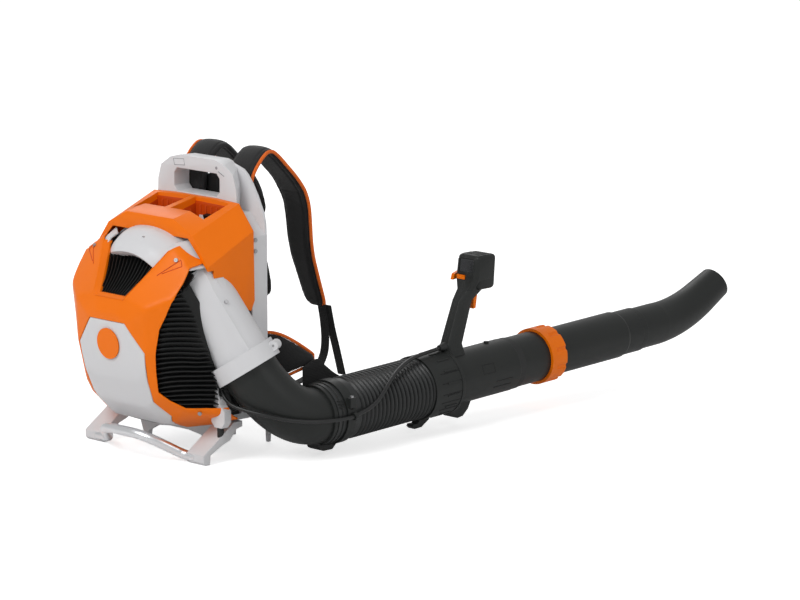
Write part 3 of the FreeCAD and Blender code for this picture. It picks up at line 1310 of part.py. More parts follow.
def make_nodes():
    """Every node by name."""
    casing_rear, casing_front = casing_halves()
    handle_left, handle_right = handle_shells()
    return {
        "back_plate": back_plate(),
        "base_frame": base_frame(),
        "stand_bar": stand_bar(),
        "fan_casing_rear": casing_rear,
        "fan_casing_front": casing_front,
        "body_screws": body_screws(),
        "intake_cage": intake_cage(),
        "rear_cover_frame": rear_cover_frame(),
        "rear_cover_panel": rear_cover_panel(),
        "badge_disc": badge_disc(),
        "battery_housing": battery_housing(),
        "bay_liners": bay_liners(),
        "battery_contacts": battery_contacts(),
        "battery_latch_left": battery_latch(-1),
        "battery_latch_right": battery_latch(1),
        "controller_box": controller_box(),
        "battery_leads": battery_leads(),
        "motor_housing": motor_housing(),
        "motor_stator": motor_stator(),
        "motor_mount": motor_mount(),
        "motor_bearings": motor_bearings(),
        "rotor_shaft": rotor_shaft(),
        "rotor_core": rotor_core(),
        "impeller": impeller(),
        "shaft_nut": shaft_nut(),
        "duct_collar": duct_collar(),
        "collar_screws": collar_screws(),
        "duct_seal": duct_seal(),
        "duct_bracket": duct_bracket(),
        "vibration_buffers": vibration_buffers(),
        "elbow": elbow(),
        "elbow_foot": elbow_foot(),
        "hose_clamp": hose_clamp(),
        "clamp_screw": clamp_screw(),
        "cable_gland": cable_gland(),
        "cable_clip": cable_clip(),
        "control_cable_lower": cord("lower cable", CABLE_LOWER, CABLE_R),
        "control_cable_upper": cord("upper cable", CABLE_UPPER, CABLE_R),
        "bellows": bellows(),
        "hose_cuff": hose_cuff(),
        "handle_tube": handle_tube(),
        "end_band": end_band(),
        "handle_shell_left": handle_left,
        "handle_shell_right": handle_right,
        "display_window": display_window(),
        "strain_relief": strain_relief(),
        "trigger": trigger(),
        "thumb_lever": thumb_lever(),
        "start_button": start_button(),
        "union_ring": union_ring(),
        "blow_tube": blow_tube(),
        "nozzle": nozzle(),
        "back_pad": back_pad(),
        "shoulder_strap_left": shoulder_strap(-1),
        "shoulder_strap_right": shoulder_strap(1),
        "strap_bindings": strap_bindings(),
        "hip_belt_left": hip_belt(-1),
        "hip_belt_right": hip_belt(1),
        "belt_bindings": belt_bindings(),
        "webbing": webbing(),
    }


def main():
    """Build every node and write it to its file."""
    os.makedirs("parts", exist_ok=True)
    for name, shape in make_nodes().items():
        print(name, "solids", len(shape.Solids), "valid", shape.isValid(), "cm3 %.1f" % (shape.Volume / 1000))
        shape.exportStep("parts/%s.step" % name)


main()
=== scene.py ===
"""Looks of a backpack leaf blower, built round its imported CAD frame.

Lengths in the sub-assemblies are millimetres, as on a drawing, and Bench turns them into metres. Those in the
finishes and in the studio are metres.
"""

import json
import logging
import math
from dataclasses import dataclass, field
from enum import Enum
from typing import Callable, Sequence

import bpy
from mathutils import Matrix, Vector
from mathutils.bvhtree import BVHTree

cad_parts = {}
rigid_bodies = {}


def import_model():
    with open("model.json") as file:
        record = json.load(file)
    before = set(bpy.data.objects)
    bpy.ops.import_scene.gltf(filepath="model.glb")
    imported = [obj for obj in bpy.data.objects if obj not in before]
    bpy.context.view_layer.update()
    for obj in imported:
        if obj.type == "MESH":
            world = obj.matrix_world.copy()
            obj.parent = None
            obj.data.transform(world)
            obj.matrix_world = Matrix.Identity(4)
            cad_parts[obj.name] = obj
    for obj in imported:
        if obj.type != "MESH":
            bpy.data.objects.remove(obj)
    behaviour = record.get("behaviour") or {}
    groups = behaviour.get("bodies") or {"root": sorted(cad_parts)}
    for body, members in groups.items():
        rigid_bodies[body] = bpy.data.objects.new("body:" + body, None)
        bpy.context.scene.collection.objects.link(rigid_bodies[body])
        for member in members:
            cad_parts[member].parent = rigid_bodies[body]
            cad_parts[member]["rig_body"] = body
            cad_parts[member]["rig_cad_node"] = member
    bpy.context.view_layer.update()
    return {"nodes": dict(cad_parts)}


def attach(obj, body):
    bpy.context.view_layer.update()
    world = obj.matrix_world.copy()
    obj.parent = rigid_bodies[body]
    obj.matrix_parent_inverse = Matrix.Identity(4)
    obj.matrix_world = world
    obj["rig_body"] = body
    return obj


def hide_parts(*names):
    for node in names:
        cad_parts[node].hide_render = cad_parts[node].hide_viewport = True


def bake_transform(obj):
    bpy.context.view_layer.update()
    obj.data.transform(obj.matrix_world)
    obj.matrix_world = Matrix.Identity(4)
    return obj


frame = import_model()

MM = 0.001
SIDES = ((1, "right"), (-1, "left"))
LOG = logging.getLogger("blower")
Colour = tuple[float, float, float]
Point = Sequence[float]


class Socket(Enum):
    """Principled shader sockets that the finishes set."""

    COLOUR = "Base Color"
    ROUGHNESS = "Roughness"
    METAL = "Metallic"
    NORMAL = "Normal"
    GLOSS = "Specular IOR Level"
    COAT = "Coat Weight"
    SHEEN = "Sheen Weight"


def linear(red: int, green: int, blue: int) -> Colour:
    """Turns a colour as seen on a screen into the shader's linear values.

    Args:
        red: Red from 0 to 255.
        green: Green from 0 to 255.
        blue: Blue from 0 to 255.

    Returns:
        The linear colour.
    """
    values = []
    for part in (red, green, blue):
        share = part / 255
        values.append(share / 12.92 if share < 0.04 else ((share + 0.055) / 1.055) ** 2.4)
    return tuple(values)


class Recipe:
    """A material's nodes while they are being joined."""

    def __init__(self, name: str) -> None:
        """Starts a material with its shader.

        Args:
            name: The material's name.
        """
        self.material = bpy.data.materials.new(name)
        self.material.use_nodes = True
        self.tree = self.material.node_tree
        self.shader = self.tree.nodes["Principled BSDF"]
        self.coords = self.tree.nodes.new("ShaderNodeTexCoord")

    def node(self, kind: str, **values: object) -> bpy.types.Node:
        """Adds a node and sets its plain properties and sockets.

        Args:
            kind: The node's type name.
            **values: Property names, or socket names with blanks as underscores.

        Returns:
            The new node.
        """
        made = self.tree.nodes.new(kind)
        for key, value in values.items():
            label = key.replace("_", " ").title()
            if label in made.inputs:
                made.inputs[label].default_value = value
            else:
                setattr(made, key, value)
        return made

    def link(self, source: bpy.types.NodeSocket, target: bpy.types.NodeSocket) -> None:
        """Joins two sockets."""
        self.tree.links.new(source, target)

    def noise(self, scale: float, detail: float = 2.0) -> bpy.types.Node:
        """Adds a noise that is read in the object's own space.

        Args:
            scale: Spots per metre.
            detail: Octaves of the noise.

        Returns:
            The noise node.
        """
        made = self.node("ShaderNodeTexNoise", scale=scale, detail=detail)
        self.link(self.coords.outputs["Object"], made.inputs["Vector"])
        return made

    def ramp(self, source: bpy.types.NodeSocket, low: float, high: float) -> bpy.types.NodeSocket:
        """Maps a value from 0…1 onto low…high.

        Args:
            source: The value's socket.
            low: Result at 0.
            high: Result at 1.

        Returns:
            The mapped value's socket.
        """
        made = self.tree.nodes.new("ShaderNodeMapRange")
        made.inputs["To Min"].default_value = low
        made.inputs["To Max"].default_value = high
        self.link(source, made.inputs["Value"])
        return made.outputs["Result"]

    def tint(self, source: bpy.types.NodeSocket, dark: Colour, light: Colour) -> None:
        """Colours the shader between two tones.

        Args:
            source: A value from 0 to 1.
            dark: Colour at 0.
            light: Colour at 1.
        """
        mix = self.tree.nodes.new("ShaderNodeMix")
        mix.data_type = "RGBA"
        colours = [socket for socket in mix.inputs if socket.type == "RGBA"]
        colours[0].default_value = (*dark, 1)
        colours[1].default_value = (*light, 1)
        self.link(source, mix.inputs["Factor"])
        result = next(socket for socket in mix.outputs if socket.type == "RGBA")
        self.link(result, self.shader.inputs[Socket.COLOUR.value])

    def roughen(self, source: bpy.types.NodeSocket, low: float, high: float) -> None:
        """Varies the shader's roughness from low to high with a value from 0 to 1."""
        self.link(self.ramp(source, low, high), self.shader.inputs[Socket.ROUGHNESS.value])

    def relief(self, height: bpy.types.NodeSocket, strength: float, depth: float,
               round_edges: float = 0.0) -> None:
        """Bumps the surface.

        Args:
            height: The height's socket.
            strength: Share of the bump that is used.
            depth: Height of the bump in metres.
            round_edges: Radius in metres with which sharp edges are shaded round.
        """
        bump = self.node("ShaderNodeBump", strength=strength, distance=depth)
        self.link(height, bump.inputs["Height"])
        if round_edges:
            edge = self.tree.nodes.new("ShaderNodeBevel")
            edge.samples = 4
            edge.inputs["Radius"].default_value = round_edges
            self.link(edge.outputs["Normal"], bump.inputs["Normal"])
        self.link(bump.outputs["Normal"], self.shader.inputs[Socket.NORMAL.value])

    def fix(self, socket: Socket, value: float) -> None:
        """Sets one of the shader's own numbers."""
        self.shader.inputs[socket.value].default_value = value


def shade(colour: Colour, share: float) -> Colour:
    """A colour multiplied by a share, kept under white."""
    return tuple(min(1.0, part * share) for part in colour)


@dataclass(frozen=True)
class MouldedPlastic:
    """Moulded plastic with a fine spark-eroded grain."""

    name: str
    colour: Colour
    roughness: float = 0.42
    grain: float = 0.12
    pitch: float = 1400.0
    uneven: float = 0.05
    edge: float = 0.0009
    gloss: float = 0.3
    cloud: float = 14.0
    wear: float = 60.0
    smoother: float = 0.05
    rougher: float = 0.07
    depth: float = 0.0002

    def material(self) -> bpy.types.Material:
        """Builds the material.

        Returns:
            The material.
        """
        recipe = Recipe(self.name)
        cloud = recipe.noise(self.cloud, 3.0)
        recipe.tint(cloud.outputs["Fac"],
                    shade(self.colour, 1 - self.uneven), shade(self.colour, 1 + self.uneven))
        recipe.roughen(recipe.noise(self.wear).outputs["Fac"],
                       self.roughness - self.smoother, self.roughness + self.rougher)
        recipe.relief(recipe.noise(self.pitch, 1.0).outputs["Fac"], self.grain, self.depth, self.edge)
        recipe.fix(Socket.GLOSS, self.gloss)
        return recipe.material


@dataclass(frozen=True)
class MouldedRubber:
    """Soft black rubber with a dusty, matt surface."""

    name: str
    colour: Colour
    roughness: float = 0.6
    dust: float = 90.0
    smoother: float = 0.08
    rougher: float = 0.1
    pitch: float = 2200.0
    grain: float = 0.15
    depth: float = 0.0002
    edge: float = 0.0005

    def material(self) -> bpy.types.Material:
        """Builds the material.

        Returns:
            The material.
        """
        recipe = Recipe(self.name)
        dust = recipe.noise(self.dust, 4.0)
        recipe.tint(dust.outputs["Fac"], shade(self.colour, 0.85), shade(self.colour, 1.25))
        recipe.roughen(dust.outputs["Fac"], self.roughness - self.smoother, self.roughness + self.rougher)
        recipe.relief(recipe.noise(self.pitch, 1.0).outputs["Fac"], self.grain, self.depth, self.edge)
        return recipe.material


@dataclass(frozen=True)
class DrawnMetal:
    """Metal with fine drawing lines along one axis."""

    name: str
    colour: Colour
    roughness: float
    stretch: tuple[float, float, float] = (1.0, 1.0, 1.0)
    pitch: float = 900.0
    smoother: float = 0.06
    rougher: float = 0.08
    grain: float = 0.1
    depth: float = 0.0001

    def material(self) -> bpy.types.Material:
        """Builds the material.

        Returns:
            The material.
        """
        recipe = Recipe(self.name)
        place = recipe.node("ShaderNodeMapping")
        place.inputs["Scale"].default_value = self.stretch
        recipe.link(recipe.coords.outputs["Object"], place.inputs["Vector"])
        lines = recipe.node("ShaderNodeTexNoise", scale=self.pitch, detail=2.0)
        recipe.link(place.outputs["Vector"], lines.inputs["Vector"])
        recipe.tint(lines.outputs["Fac"], shade(self.colour, 0.94), shade(self.colour, 1.05))
        recipe.roughen(lines.outputs["Fac"], self.roughness - self.smoother, self.roughness + self.rougher)
        recipe.relief(lines.outputs["Fac"], self.grain, self.depth)
        recipe.fix(Socket.METAL, 1.0)
        return recipe.material


@dataclass(frozen=True)
class WovenCloth:
    """Woven synthetic cloth with warp and weft threads.

    wave_turn is the number of bands per unit of the wave texture's scale.
    """

    name: str
    colour: Colour
    thread: float = 1.1
    sheen: float = 0.15
    depth: float = 0.0004
    wave_turn: float = 6.283
    wander: float = 0.6
    turn: tuple[float, float, float] = (0.4, 0.3, 0.2)
    fade: float = 25.0

    def material(self) -> bpy.types.Material:
        """Builds the material.

        Returns:
            The material.
        """
        recipe = Recipe(self.name)
        turned = recipe.node("ShaderNodeMapping")
        turned.inputs["Rotation"].default_value = self.turn
        recipe.link(recipe.coords.outputs["Object"], turned.inputs["Vector"])
        threads = []
        for direction in ("X", "Z"):
            wave = recipe.node("ShaderNodeTexWave", scale=1 / MM / self.thread / self.wave_turn,
                               distortion=self.wander)
            wave.bands_direction = direction
            recipe.link(turned.outputs["Vector"], wave.inputs["Vector"])
            threads.append(wave.outputs["Fac"])
        weave = recipe.node("ShaderNodeMath", operation="MULTIPLY")
        recipe.link(threads[0], weave.inputs[0])
        recipe.link(threads[1], weave.inputs[1])
        fade = recipe.noise(self.fade, 3.0)
        blend = recipe.node("ShaderNodeMath", operation="MULTIPLY_ADD")
        recipe.link(weave.outputs[0], blend.inputs[0])
        blend.inputs[1].default_value = 0.6
        recipe.link(recipe.ramp(fade.outputs["Fac"], 0.0, 0.4), blend.inputs[2])
        recipe.tint(blend.outputs[0], shade(self.colour, 0.75), shade(self.colour, 1.35))
        recipe.roughen(weave.outputs[0], 0.75, 0.9)
        recipe.relief(weave.outputs[0], 0.5, self.depth)
        recipe.fix(Socket.SHEEN, self.sheen)
        return recipe.material


@dataclass(frozen=True)
class ClearLens:
    """Dark glossy pane with a faint smear."""

    name: str
    colour: Colour

    def material(self) -> bpy.types.Material:
        """Builds the material.

        Returns:
            The material.
        """
        recipe = Recipe(self.name)
        smear = recipe.noise(30.0, 2.0)
        recipe.tint(smear.outputs["Fac"], self.colour, shade(self.colour, 1.3))
        recipe.roughen(smear.outputs["Fac"], 0.06, 0.16)
        recipe.fix(Socket.COAT, 0.5)
        return recipe.material


ORANGE = linear(245, 118, 0)
LIGHT_GREY = linear(214, 214, 216)
CHARCOAL = linear(36, 38, 37)


class Finish(Enum):
    """Every finish on the machine."""

    ORANGE = MouldedPlastic("orange_plastic", ORANGE, 0.36, 0.08, uneven=0.03, gloss=0.22)
    # A darker copy of the orange plastic: painted shade inside the battery bays, in the arms' recesses and on
    # the cover's underside.
    DEEP_ORANGE = MouldedPlastic("painted_shade_orange_plastic", linear(206, 74, 4), 0.45, 0.15, uneven=0.06)
    LIGHT = MouldedPlastic("light_grey_plastic", LIGHT_GREY, 0.42, 0.1, uneven=0.02)
    SHADE = MouldedPlastic("shaded_grey_plastic", linear(150, 150, 153), 0.5, 0.12)
    CHARCOAL = MouldedPlastic("charcoal_plastic", CHARCOAL, 0.42, 0.3, 1100.0, 0.08)
    GRILLE = MouldedPlastic("grille_plastic", linear(27, 28, 28), 0.34, 0.15, uneven=0.06, edge=0.0005)
    BLACK = MouldedPlastic("black_plastic", linear(18, 18, 19), 0.45, 0.2, uneven=0.08)
    RUBBER = MouldedRubber("black_rubber", linear(28, 29, 29))
    HOSE = MouldedRubber("hose_rubber", linear(33, 35, 35), 0.42)
    CABLE = MouldedRubber("cable_sheath", linear(24, 25, 25), 0.38)
    BAR = DrawnMetal("bright_bar", (0.86, 0.87, 0.89), 0.3, (0.02, 1.0, 1.0))
    STEEL = DrawnMetal("plated_screw", (0.40, 0.40, 0.41), 0.3)
    COPPER = DrawnMetal("copper_winding", (0.75, 0.36, 0.18), 0.4, (1.0, 0.1, 1.0))
    FABRIC = WovenCloth("pad_fabric", linear(20, 20, 21))
    WEBBING = WovenCloth("webbing_weave", linear(17, 17, 18), 2.2, 0.1, 0.0006)
    PIPING = WovenCloth("piping_weave", linear(238, 104, 8), 1.2, 0.1)
    LENS = ClearLens("display_pane", linear(22, 24, 27))


class FinishShelf:
    """Materials that were made once, ready to be put on pieces."""

    made: dict[Finish, bpy.types.Material] = {}

    @classmethod
    def get(cls, finish: Finish) -> bpy.types.Material:
        """Gives a finish's material.

        Args:
            finish: The finish.

        Returns:
            Its material, made at the first call.
        """
        if finish not in cls.made:
            cls.made[finish] = finish.value.material()
        return cls.made[finish]

    @classmethod
    def dress(cls, obj: bpy.types.Object, finish: Finish) -> None:
        """Puts a finish on a whole object."""
        obj.data.materials.clear()
        obj.data.materials.append(cls.get(finish))


class Bench:
    """Modelling steps that the sub-assemblies share.

    The weld distances are metres, and flat_angle is the degrees up to which neighbouring faces become one.
    """

    grid_weld = 1e-6
    cad_weld = 1e-5
    flat_angle = 0.6

    @staticmethod
    def rest() -> None:
        """Leaves edit mode and selects nothing."""
        if bpy.context.object and bpy.context.object.mode != "OBJECT":
            bpy.ops.object.mode_set(mode="OBJECT")
        bpy.ops.object.select_all(action="DESELECT")

    @staticmethod
    def hold(obj: bpy.types.Object) -> None:
        """Makes an object the only selected and active one."""
        Bench.rest()
        obj.select_set(True)
        bpy.context.view_layer.objects.active = obj

    @staticmethod
    def edit(obj: bpy.types.Object, all_selected: bool = True) -> None:
        """Opens an object in edit mode, with all or nothing selected."""
        Bench.hold(obj)
        bpy.ops.object.mode_set(mode="EDIT")
        bpy.ops.mesh.select_mode(type="VERT")
        bpy.ops.mesh.select_all(action="SELECT" if all_selected else "DESELECT")

    @staticmethod
    def place(obj: bpy.types.Object) -> bpy.types.Object:
        """Puts an object's place into its mesh.

        Args:
            obj: The object.

        Returns:
            The same object, at the origin.
        """
        Bench.hold(obj)
        bpy.ops.object.transform_apply(location=True, rotation=True, scale=True)
        return obj

    @staticmethod
    def modify(obj: bpy.types.Object, kind: str, **values: object) -> None:
        """Adds a modifier and applies it.

        Args:
            obj: The object.
            kind: The modifier's type.
            **values: The modifier's settings.
        """
        Bench.hold(obj)
        modifier = obj.modifiers.new(kind.lower(), kind)
        for key, value in values.items():
            setattr(modifier, key, value)
        bpy.ops.object.modifier_apply(modifier=modifier.name)

    @staticmethod
    def smooth(obj: bpy.types.Object, degrees: float = 35.0) -> None:
        """Shades an object smooth up to an angle between faces."""
        Bench.hold(obj)
        bpy.ops.object.shade_smooth_by_angle(angle=math.radians(degrees))

    @staticmethod
    def round_edges(obj: bpy.types.Object, width: float, segments: int = 2, degrees: float = 35.0) -> None:
        """Rounds an object's edges that are sharper than an angle.

        Args:
            obj: The object.
            width: Width of the rounding in millimetres.
            segments: Faces across the rounding.
            degrees: Smallest angle between faces that is rounded.
        """
        Bench.modify(obj, "BEVEL", width=width * MM, segments=segments, limit_method="ANGLE",
                     angle_limit=math.radians(degrees), use_clamp_overlap=True)
        Bench.smooth(obj, degrees)

    @staticmethod
    def tidy(obj: bpy.types.Object, merge: float = 0.001) -> None:
        """Merges doubles and turns all faces outwards.

        Args:
            obj: The object.
            merge: Merge distance in millimetres.
        """
        Bench.edit(obj)
        bpy.ops.mesh.remove_doubles(threshold=merge * MM)
        bpy.ops.mesh.normals_make_consistent(inside=False)
        Bench.rest()

    @staticmethod
    def skin(name: str, rows: Sequence[Sequence[Point]], wrap: bool = False,
             caps: bool = False) -> bpy.types.Object:
        """Lofts a surface: a grid whose vertices are moved to rows of points.

        Args:
            name: The piece's name.
            rows: Rows with the same number of points, in millimetres.
            wrap: Joins each row's last point to its first.
            caps: Closes the open ends.

        Returns:
            The new piece.
        """
        across = len(rows[0]) + (1 if wrap else 0)
        Bench.rest()
        bpy.ops.mesh.primitive_grid_add(x_subdivisions=across - 1, y_subdivisions=len(rows) - 1, size=1.0)
        obj = bpy.context.object
        obj.name = name
        for j, row in enumerate(rows):
            for i in range(across):
                obj.data.vertices[j * across + i].co = Vector(row[i % len(row)]) * MM
        Bench.edit(obj)
        bpy.ops.mesh.remove_doubles(threshold=Bench.grid_weld)
        if caps:
            bpy.ops.mesh.fill_holes(sides=0)
            bpy.ops.mesh.select_all(action="SELECT")
        bpy.ops.mesh.normals_make_consistent(inside=False)
        Bench.rest()
        return obj

    @staticmethod
    def tube(name: str, points: Sequence[Point], radii: float | Sequence[float], sides: int = 20,
             caps: bool = True, flat: float = 1.0, up: Point = (0, 0, 1)) -> bpy.types.Object:
        """Round or oval tube along points.

        Args:
            name: The piece's name.
            points: Points on the centre line, in millimetres.
            radii: One radius, or one for each point.
            sides: Points round the tube.
            caps: Closes the ends.
            flat: Share of the radius across the route's flat side.
            up: Direction that starts the section.

        Returns:
            The new piece.
        """
        line = [Vector(p) for p in points]
        sizes = [radii] * len(line) if isinstance(radii, (int, float)) else list(radii)
        side = Vector(up)
        rows = []
        for i, (point, radius) in enumerate(zip(line, sizes)):
            ahead = (line[min(i + 1, len(line) - 1)] - line[max(i - 1, 0)]).normalized()
            side = (side - ahead * side.dot(ahead)).normalized()
            other = ahead.cross(side)
            rows.append([point + side * (radius * flat * math.cos(a)) + other * (radius * math.sin(a))
                         for a in (2 * math.pi * k / sides for k in range(sides))])
        return Bench.skin(name, rows, wrap=True, caps=caps)

    @staticmethod
    def face(name: str, corners: Sequence[Point]) -> bpy.types.Object:
        """Flat face between corners.

        Args:
            name: The piece's name.
            corners: The corners in millimetres.

        Returns:
            The new piece.
        """
        Bench.rest()
        bpy.ops.mesh.primitive_circle_add(vertices=len(corners), radius=1.0, fill_type="NGON")
        obj = bpy.context.object
        obj.name = name
        for vertex, point in zip(obj.data.vertices, corners):
            vertex.co = Vector(point) * MM
        return obj

    @staticmethod
    def plate(name: str, outline: Sequence[Point], travel: Point) -> bpy.types.Object:
        """Flat outline extruded along a direction.

        Args:
            name: The piece's name.
            outline: Corners in millimetres, in one plane.
            travel: Extrusion in millimetres.

        Returns:
            The new piece.
        """
        obj = Bench.face(name, outline)
        Bench.edit(obj)
        bpy.ops.mesh.extrude_region_move(TRANSFORM_OT_translate={"value": Vector(travel) * MM})
        bpy.ops.mesh.select_all(action="SELECT")
        bpy.ops.mesh.normals_make_consistent(inside=False)
        Bench.rest()
        return obj

    @staticmethod
    def join(name: str, parts: Sequence[bpy.types.Object]) -> bpy.types.Object:
        """Joins pieces into one object.

        Args:
            name: The result's name.
            parts: The pieces.

        Returns:
            The joined piece.
        """
        Bench.rest()
        for part in parts:
            part.select_set(True)
        bpy.context.view_layer.objects.active = parts[0]
        bpy.ops.object.join()
        parts[0].name = name
        return parts[0]

    @staticmethod
    def cad_copy(node: str, name: str) -> bpy.types.Object:
        """Copies a CAD node's mesh as a merged mesh of large faces.

        Args:
            node: The CAD node.
            name: The copy's name.

        Returns:
            The copy.
        """
        obj = bpy.data.objects.new(name, frame["nodes"][node].data.copy())
        bpy.context.scene.collection.objects.link(obj)
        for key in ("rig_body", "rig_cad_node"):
            if key in obj:
                del obj[key]
        Bench.edit(obj)
        bpy.ops.mesh.customdata_custom_splitnormals_clear()
        bpy.ops.mesh.remove_doubles(threshold=Bench.cad_weld)
        bpy.ops.mesh.dissolve_limited(angle_limit=math.radians(Bench.flat_angle))
        Bench.rest()
        return obj


def deliver(obj: bpy.types.Object, body: str, finish: Finish, nodes: Sequence[str] = ()) -> None:
    """Dresses a finished piece and hands it to the frame.

    Args:
        obj: The piece.
        body: CAD body that it rides on.
        finish: Its finish.
        nodes: CAD nodes that it stands for.
    """
    FinishShelf.dress(obj, finish)
    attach(obj, body)
    if nodes:
        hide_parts(*nodes)
    LOG.info("%s: %d faces on %s", obj.name, len(obj.data.polygons), body)


def deliver_between(obj: bpy.types.Object, bodies: Sequence[str], finish: Finish,
                    node: str) -> None:
    """Dresses a rubber piece that runs between two bodies, bakes its place into its mesh and hides its CAD
    node.

    Args:
        obj: The piece.
        bodies: The body at its start and the body at its end.
        finish: Its finish.
        node: CAD node that it stands for.
    """
    FinishShelf.dress(obj, finish)
    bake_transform(obj)
    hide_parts(node)
    LOG.info("%s between %s and %s", obj.name, *bodies)


@dataclass(frozen=True)
class TubeLine:
    """Axis of the hose, the handle tube and the blow tube, and where the hose bends along it."""

    x: float = 235.0
    z: float = 74.0
    rise: float = 2.3
    bend_from: float = 52.0
    bend_split: float = 143.0
    bend_to: float = 234.0

    @property
    def axis(self) -> Vector:
        """Direction towards the nozzle."""
        angle = math.radians(self.rise)
        return Vector((0, math.cos(angle), math.sin(angle)))

    def at(self, y: float) -> Vector:
        """Point of the axis at a distance along Y."""
        return Vector((self.x, y, self.z + y * math.tan(math.radians(self.rise))))

    def on(self, y: float, radius: float, degrees: float) -> Vector:
        """Point beside the axis.

        Args:
            y: Distance along Y.
            radius: Distance from the axis.
            degrees: Turn about the axis, 0 towards +X and 90 upwards.

        Returns:
            The point.
        """
        turn = math.radians(degrees)
        up = Vector((1, 0, 0)).cross(self.axis)
        return self.at(y) + Vector((1, 0, 0)) * (radius * math.cos(turn)) + up * (radius * math.sin(turn))


@dataclass(frozen=True)
class DuctLine:
    """Axis of the fan casing's outlet duct."""

    end: Vector = field(default_factory=lambda: Vector((183, -124, 164)))
    axis: Vector = field(default_factory=lambda: Vector((0.466, 0.26, -0.8455)).normalized())

    def at(self, distance: float) -> Vector:
        """Point of the axis, counted from the duct's outlet."""
        return self.end + self.axis * distance


TUBE = TubeLine()
DUCT = DuctLine()


@dataclass
class Studio:
    """Floor, lights and the camera.

    Each light has a name, a place, a point that it shines at, its side and its watts.
    """

    lens: float = 180.0
    place: Vector = field(default_factory=lambda: Vector((5.2257, -4.8768, 1.6111)))
    turn: float = 44.5
    lift: float = 10.8
    lights: tuple = (("key", (0.2, -3.6, 3.6), (0.1, 0.0, 0.25), 2.2, 100),
                     ("fill", (4.2, 0.4, 2.6), (0.2, 0.4, 0.1), 2.6, 22),
                     ("rim", (-2.6, 2.2, 2.8), (0.1, 0.2, 0.2), 2.0, 26))
    room_light: float = 0.5
    floor_side: float = 60.0
    floor_drop: float = 0.0006
    floor_colour: tuple = (0.86, 0.86, 0.86, 1)
    floor_glow: float = 0.62

    def camera(self) -> None:
        """Sets the camera at the photograph's angle."""
        turn, lift = math.radians(self.turn), math.radians(self.lift)
        back = Vector((math.sin(turn) * math.cos(lift), -math.cos(turn) * math.cos(lift), math.sin(lift)))
        right = Vector((math.cos(turn), math.sin(turn), 0))
        data = bpy.data.cameras.new("camera")
        data.lens = self.lens
        data.clip_end = 200
        obj = bpy.data.objects.new("camera", data)
        bpy.context.scene.collection.objects.link(obj)
        turned = Matrix((right, back.cross(right), back)).transposed().to_4x4()
        obj.matrix_world = Matrix.Translation(self.place) @ turned
        bpy.context.scene.camera = obj

    @staticmethod
    def lamp(name: str, place: Point, aim: Point, size: float, power: float) -> None:
        """Adds a square area lamp.

        Args:
            name: The lamp's name.
            place: Its place in metres.
            aim: The point it shines at.
            size: Its side in metres.
            power: Its power in watts.
        """
        data = bpy.data.lights.new(name, "AREA")
        data.size = size
        data.energy = power
        obj = bpy.data.objects.new(name, data)
        bpy.context.scene.collection.objects.link(obj)
        obj.location = place
        obj.rotation_mode = "QUATERNION"
        obj.rotation_quaternion = (Vector(aim) - Vector(place)).to_track_quat("-Z", "Y")

    def lamps(self) -> None:
        """Adds the soft studio light."""
        for light in self.lights:
            self.lamp(*light)

    @staticmethod
    def white_to_camera(tree: bpy.types.NodeTree) -> bpy.types.NodeSocket:
        """Adds a value that is 1 for what the camera sees.

        Args:
            tree: The node tree.

        Returns:
            The value's socket.
        """
        path = tree.nodes.new("ShaderNodeLightPath")
        return path.outputs["Is Camera Ray"]

    def world(self) -> None:
        """Lights the room evenly and shows white behind the floor."""
        world = bpy.data.worlds.new("room")
        world.use_nodes = True
        bpy.context.scene.world = world
        tree = world.node_tree
        background = tree.nodes["Background"]
        background.inputs["Color"].default_value = (1, 1, 1, 1)
        strength = tree.nodes.new("ShaderNodeMapRange")
        strength.inputs["To Min"].default_value = self.room_light
        strength.inputs["To Max"].default_value = 1.0
        tree.links.new(self.white_to_camera(tree), strength.inputs["Value"])
        tree.links.new(strength.outputs["Result"], background.inputs["Strength"])

    def floor(self) -> None:
        """Lays a pale floor that keeps the object's shadow."""
        Bench.rest()
        bpy.ops.mesh.primitive_plane_add(size=self.floor_side, location=(0, 0, -self.floor_drop))
        floor = Bench.place(bpy.context.object)
        floor.name = "floor"
        material = bpy.data.materials.new("pale_floor")
        material.use_nodes = True
        tree = material.node_tree
        shader = tree.nodes["Principled BSDF"]
        shader.inputs["Base Color"].default_value = self.floor_colour
        shader.inputs["Roughness"].default_value = 0.9
        shader.inputs["Specular IOR Level"].default_value = 0.0
        shader.inputs["Emission Color"].default_value = (1, 1, 1, 1)
        glow = tree.nodes.new("ShaderNodeMath")
        glow.operation = "MULTIPLY"
        glow.inputs[1].default_value = self.floor_glow
        tree.links.new(self.white_to_camera(tree), glow.inputs[0])
        tree.links.new(glow.outputs[0], shader.inputs["Emission Strength"])
        floor.data.materials.append(material)

    def build(self) -> None:
        """Sets up the whole studio."""
        self.camera()
        self.lamps()
        self.world()
        self.floor()
        bpy.context.scene.view_settings.view_transform = "Standard"


def mirrored(half: Sequence[Point]) -> list[tuple[float, float]]:
    """Adds the left half to the right half of an outline in X and Z."""
    return [tuple(p) for p in half] + [(-x, z) for x, z in reversed(half)]


